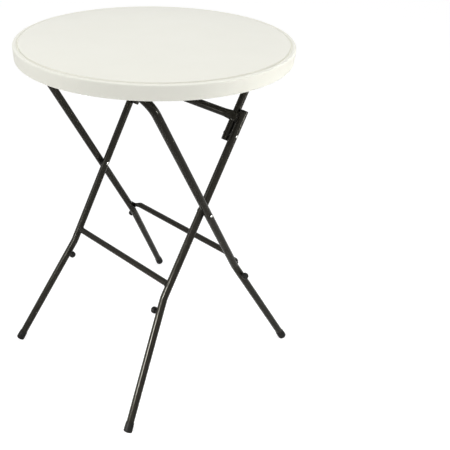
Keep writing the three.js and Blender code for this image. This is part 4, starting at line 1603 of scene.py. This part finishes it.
@dataclass
class LowerLegs(Assembly):
    """The four plug-in lower legs with their foot caps and hand knobs."""

    cap_wall: float = 1.3
    cap_flare: float = 0.5
    cap_round: float = 2.2
    cap_length: float = 27.0
    cap_floor: float = 4.0
    knob_drop: float = 45.0
    stud: float = 3.0
    scallops: int = 8
    scallop_radius: float = 2.5
    scallop_reach: float = 12.9

    def tube(self, name: str, end: float) -> Piece:
        """A lower leg about its knee's corner, down -Z, with a swaged spigot.

        Args:
            name: The piece's name.
            end: Where it ends, from the knee.

        Returns:
            The tube.
        """
        spigot, radius, stub = self.stock.bore - 0.3, self.stock.radius, -self.stock.stub
        top = stub + self.stock.socket - 0.6
        return smooth(turned(name, [
            (spigot - 1.0, top), (spigot, top - 1.2), (spigot, stub + 2.0), (spigot, stub - 0.3),
            (radius - 0.3, stub - 0.3), (radius, stub - 0.65), (radius, -end),
        ], 40))

    def foot(self, name: str, end: float, floor: float, tilt: float) -> Piece:
        """A foot cap about its knee's corner, square across its end, its lower rim on the floor.

        Args:
            name: The piece's name.
            end: Where the tube ends, from the knee.
            floor: Where the floor is, from the knee.
            tilt: How far the leg leans from upright, in radians.

        Returns:
            The cap.
        """
        seat = self.stock.radius + self.stock.gap
        radius = seat + self.cap_wall
        wide = radius + self.cap_flare
        ease = self.cap_round
        sole = floor + ease - ((wide - ease) * math.sin(tilt) + ease) / math.cos(tilt)
        top = -end + self.cap_length
        return smooth(turned(name, [
            (wide * 0.5, 0.6 - sole), (wide * 0.62, 0.2 - sole), (wide * 0.7, -sole),
            *arc((wide - ease, ease - sole), ease, -86.0, -4.0, 6), (wide - 0.1, top - 16.0),
            (radius, top - 3.6), (radius - 0.2, top - 1.2), (radius - 0.75, top - 0.2),
            (seat + 0.3, top), (seat, top - 0.3), (seat, -end - self.stock.gap),
        ], 48), 40.0)

    def knob_pattern(self) -> Piece:
        """A hand knob along +Z from its leg's axis: neck, scalloped head and crowned face.

        Returns:
            The knob.
        """
        seat = self.stock.radius + self.stock.gap
        profile = (
            (self.stud, 0.0), (5.5, 0.0), (5.2, 1.0), (5.4, 2.8), (7.0, 3.8), (9.2, 4.6),
            (10.5, 6.0), (11.0, 8.2), (11.0, 13.2), (10.4, 16.0), (9.0, 18.0), (7.0, 18.9),
            (6.3, 18.4), (5.8, 18.2), (2.0, 18.8),
        )
        stud_end = (self.stud, self.stock.bore - 5.0)
        knob = turned("knob", [stud_end, *((out, seat + up) for out, up in profile)], 48)
        radius = self.scallop_radius
        cutter = turned("scallop", [(radius, seat + 3.0), (radius, seat + 20.0)], 16)
        for i in range(self.scallops):
            spot = turn(360.0 / self.scallops * i, "Z") @ shift(x=self.scallop_reach)
            combine(knob, copy_to(cutter, "scallop_cut", spot))
        discard(cutter)
        return smooth(ease_edges(knob, 0.3, 1, 50.0), 40.0)

    def build(self) -> None:
        """Makes and dresses the four lower legs."""
        stock, linkage, shop = self.stock, self.linkage, self.shop
        splay = math.cos(math.radians(stock.splay))
        knob = self.knob_pattern()
        for word, body, frame, y, knee, pivot_z, lean_angle, knob_way in (
            ("outer", Body.OUTER, linkage.outer_place(), stock.outer_y, stock.knee_distance,
             linkage.hinge_height, linkage.outer_lean, -90.0),
            ("inner", Body.INNER, linkage.inner_place(), stock.inner_y, self.inner_knee,
             linkage.brace_bolt_z, linkage.inner_lean, 90.0),
        ):
            lean = math.cos(math.radians(lean_angle))
            floor = (pivot_z - knee * lean) / lean / splay
            tilt = math.acos(lean * splay)
            end = floor - stock.radius * math.tan(tilt) - self.cap_floor
            for side in Side:
                name, sign = f"{word}_{side.word}", side.value
                place = frame @ shift(0.0, sign * y, -knee) @ turn(sign * stock.splay, "X")
                leg = settle(self.tube(f"plug_in_leg_{name}", end), place)
                shop.dress(leg, COATED_STEEL, body, f"lower_leg_{name}")
                cap = settle(self.foot(f"floor_cap_{name}", end, floor, tilt), place)
                shop.dress(cap, BLACK_PLASTIC, body, f"foot_cap_{name}")
                spot = place @ shift(z=-self.knob_drop) @ turn(knob_way * sign, "X")
                screw = copy_to(knob, f"hand_knob_{name}", spot)
                shop.dress(screw, BLACK_PLASTIC, body, f"knob_{name}")
        discard(knob)


@dataclass
class Braces(Assembly):
    """The two short braces that lock the open table, plugged at both ends."""

    over: float = 17.0
    under: float = 18.0
    hollow: float = 14.5
    rim: float = 0.3

    def build(self) -> None:
        """Makes and dresses the braces."""
        radius, bore, rim, hollow = self.brace.radius, self.brace.bore, self.rim, self.hollow
        low = -self.linkage.brace_length - self.under
        for side in Side:
            y = side.value * self.brace.y
            start = (0.0, y, low + hollow)
            run = Run(f"brace_rod_{side.word}", start, -Z_WAY, Y_WAY, bore).straight(hollow)
            run.ring(radius - rim, 0.0).back().ring(radius, rim)
            run.straight(self.over - low - 2.0 * rim).ring(radius - rim, rim)
            tube = run.ring(bore, 0.0).back().straight(hollow).done()
            for z in (0.0, -self.linkage.brace_length):
                self.cross_drill(tube, y, z)
            settle(smooth(tube), self.linkage.brace_place())
            self.shop.dress(tube, COATED_STEEL, Body.BRACES, f"brace_tube_{side.word}")
            for word, z, flip in (("upper", self.over, 0.0), ("lower", low, 180.0)):
                cap = plug_cap(f"brace_end_cap_{word}_{side.word}", radius, bore - self.stock.gap)
                settle(cap, self.linkage.brace_place() @ shift(0.0, y, z) @ turn(flip, "X"))
                self.shop.dress(cap, BLACK_PLASTIC, Body.BRACES, f"brace_plug_{word}_{side.word}")


# Studio, in metres


@dataclass
class Lamp:
    """A soft rectangular lamp, by where it stands and what it points at."""

    name: str
    place: Place
    target: Place
    size: Point
    power: float
    spread: float = 180.0
    colour: Colour = (1.0, 0.99, 0.95)

    def build(self) -> None:
        """Hangs the lamp."""
        light = bpy.data.lights.new(self.name, "AREA")
        light.shape = "RECTANGLE"
        light.size, light.size_y = self.size
        light.energy = self.power
        light.color = self.colour
        light.spread = math.radians(self.spread)
        lamp = bpy.data.objects.new(self.name, light)
        lamp.location = self.place
        aim = Vector(self.target) - Vector(self.place)
        lamp.rotation_euler = aim.to_track_quat("-Z", "Y").to_euler()
        bpy.context.scene.collection.objects.link(lamp)


@dataclass
class Studio:
    """The floor, the pale surroundings, the lamps and the camera."""

    camera_place: Place = (-1.3294, -1.41175, 1.62426)
    camera_turn: Place = (57.8768, -0.2378, -41.6281)
    lens: float = 53.86
    sensor: float = 36.0
    shift_x: float = 0.2004
    shift_y: float = 0.0416
    clip_end: float = 200.0
    floor_size: float = 60.0
    floor_colour: Colour = (0.93, 0.93, 0.93)
    floor_glow: float = 0.62
    glow_strength: float = 1.3
    world_light: float = 0.53
    lamps: tuple[Lamp, ...] = (
        Lamp("key_right", (2.6, -2.3, 1.5), (0.0, 0.0, 0.9), (1.2, 1.6), 10.0),
        Lamp("fill_left", (-3.1, 1.3, 1.5), (0.0, 0.0, 0.9), (1.2, 1.6), 26.0),
        Lamp("strip_right", (0.9, -2.5, 0.8), (0.15, -0.2, 0.7), (0.35, 0.5), 1.8, 34.0),
        Lamp("strip_left", (-2.4, 0.0, 0.85), (-0.2, -0.25, 0.15), (0.35, 0.6), 3.0, 34.0),
        Lamp("overhead", (-0.3, -0.45, 3.4), (-0.1, -0.1, 1.0), (2.6, 2.6), 30.5,
             colour=(1.0, 1.0, 0.99)),
    )

    def build_world(self) -> None:
        """Lights the scene evenly and shows plain white to the camera and in reflections."""
        world = bpy.data.worlds.new("pale_room")
        bpy.context.scene.world = world
        world.use_nodes = True
        tree = Tree(world.node_tree)
        rays = tree.add("LightPath", {})
        share = rays["Is Camera Ray"]
        for kind in ("Is Glossy Ray", "Is Transmission Ray"):
            share = tree.add("Math", {0: share, 1: rays[kind]}, operation="MAXIMUM")[0]
        room = tree.add("Background", {"Color": WHITE, "Strength": self.world_light})
        white = tree.add("Background", {"Color": WHITE, "Strength": 1.0})
        mix = tree.add("MixShader", {0: share, 1: room[0], 2: white[0]})
        tree.add("OutputWorld", {"Surface": mix[0]})

    def build_floor(self) -> None:
        """Lays a plain pale floor that keeps the table's soft shadow and is clear from below."""
        clear_selection()
        bpy.ops.mesh.primitive_plane_add(size=self.floor_size)
        floor = name_piece(bpy.context.active_object, "studio_floor")
        material = bpy.data.materials.new("pale_floor")
        material.use_nodes = True
        tree = Tree(material.node_tree)
        seen = tree.add("LightPath", {})["Is Camera Ray"]
        share = tree.add("Math", {0: seen, 1: self.floor_glow}, operation="MULTIPLY")
        matt = tree.add("BsdfDiffuse", {"Color": (*self.floor_colour, 1.0)})
        glow = tree.add("Emission", {"Color": WHITE, "Strength": self.glow_strength})
        above = tree.add("MixShader", {0: share[0], 1: matt[0], 2: glow[0]})
        below = tree.add("NewGeometry", {})["Backfacing"]
        clear = tree.add("BsdfTransparent", {})
        surface = tree.add("MixShader", {0: below, 1: above[0], 2: clear[0]})
        tree.add("OutputMaterial", {"Surface": surface[0]})
        floor.data.materials.append(material)

    def build_camera(self) -> None:
        """Sets the camera where the photograph's stood."""
        lens = bpy.data.cameras.new("camera")
        lens.lens = self.lens
        lens.sensor_width = self.sensor
        lens.shift_x = self.shift_x
        lens.shift_y = self.shift_y
        lens.clip_end = self.clip_end
        camera = bpy.data.objects.new("camera", lens)
        camera.location = self.camera_place
        camera.rotation_euler = [math.radians(angle) for angle in self.camera_turn]
        bpy.context.scene.collection.objects.link(camera)
        bpy.context.scene.camera = camera

    def build(self) -> None:
        """Sets up the whole studio."""
        bpy.context.scene.view_settings.view_transform = "Standard"
        self.build_world()
        self.build_floor()
        self.build_camera()
        for lamp in self.lamps:
            lamp.build()


def main() -> None:
    """Builds the studio and the table's sub-assemblies in order."""
    logging.basicConfig(level=logging.INFO, format="%(message)s")
    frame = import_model()
    shared = PaintShop(), Linkage(), LegStock(), BraceStock()
    kinds = (MouldedTop, UndersideSteel, OuterFrame, InnerFrame, LowerLegs, Braces)
    for assembly in (Studio(), *(kind(*shared) for kind in kinds)):
        assembly.build()
        LOG.info("%s is done", type(assembly).__name__)
    clear_selection()


if __name__ == "__main__":
    main()
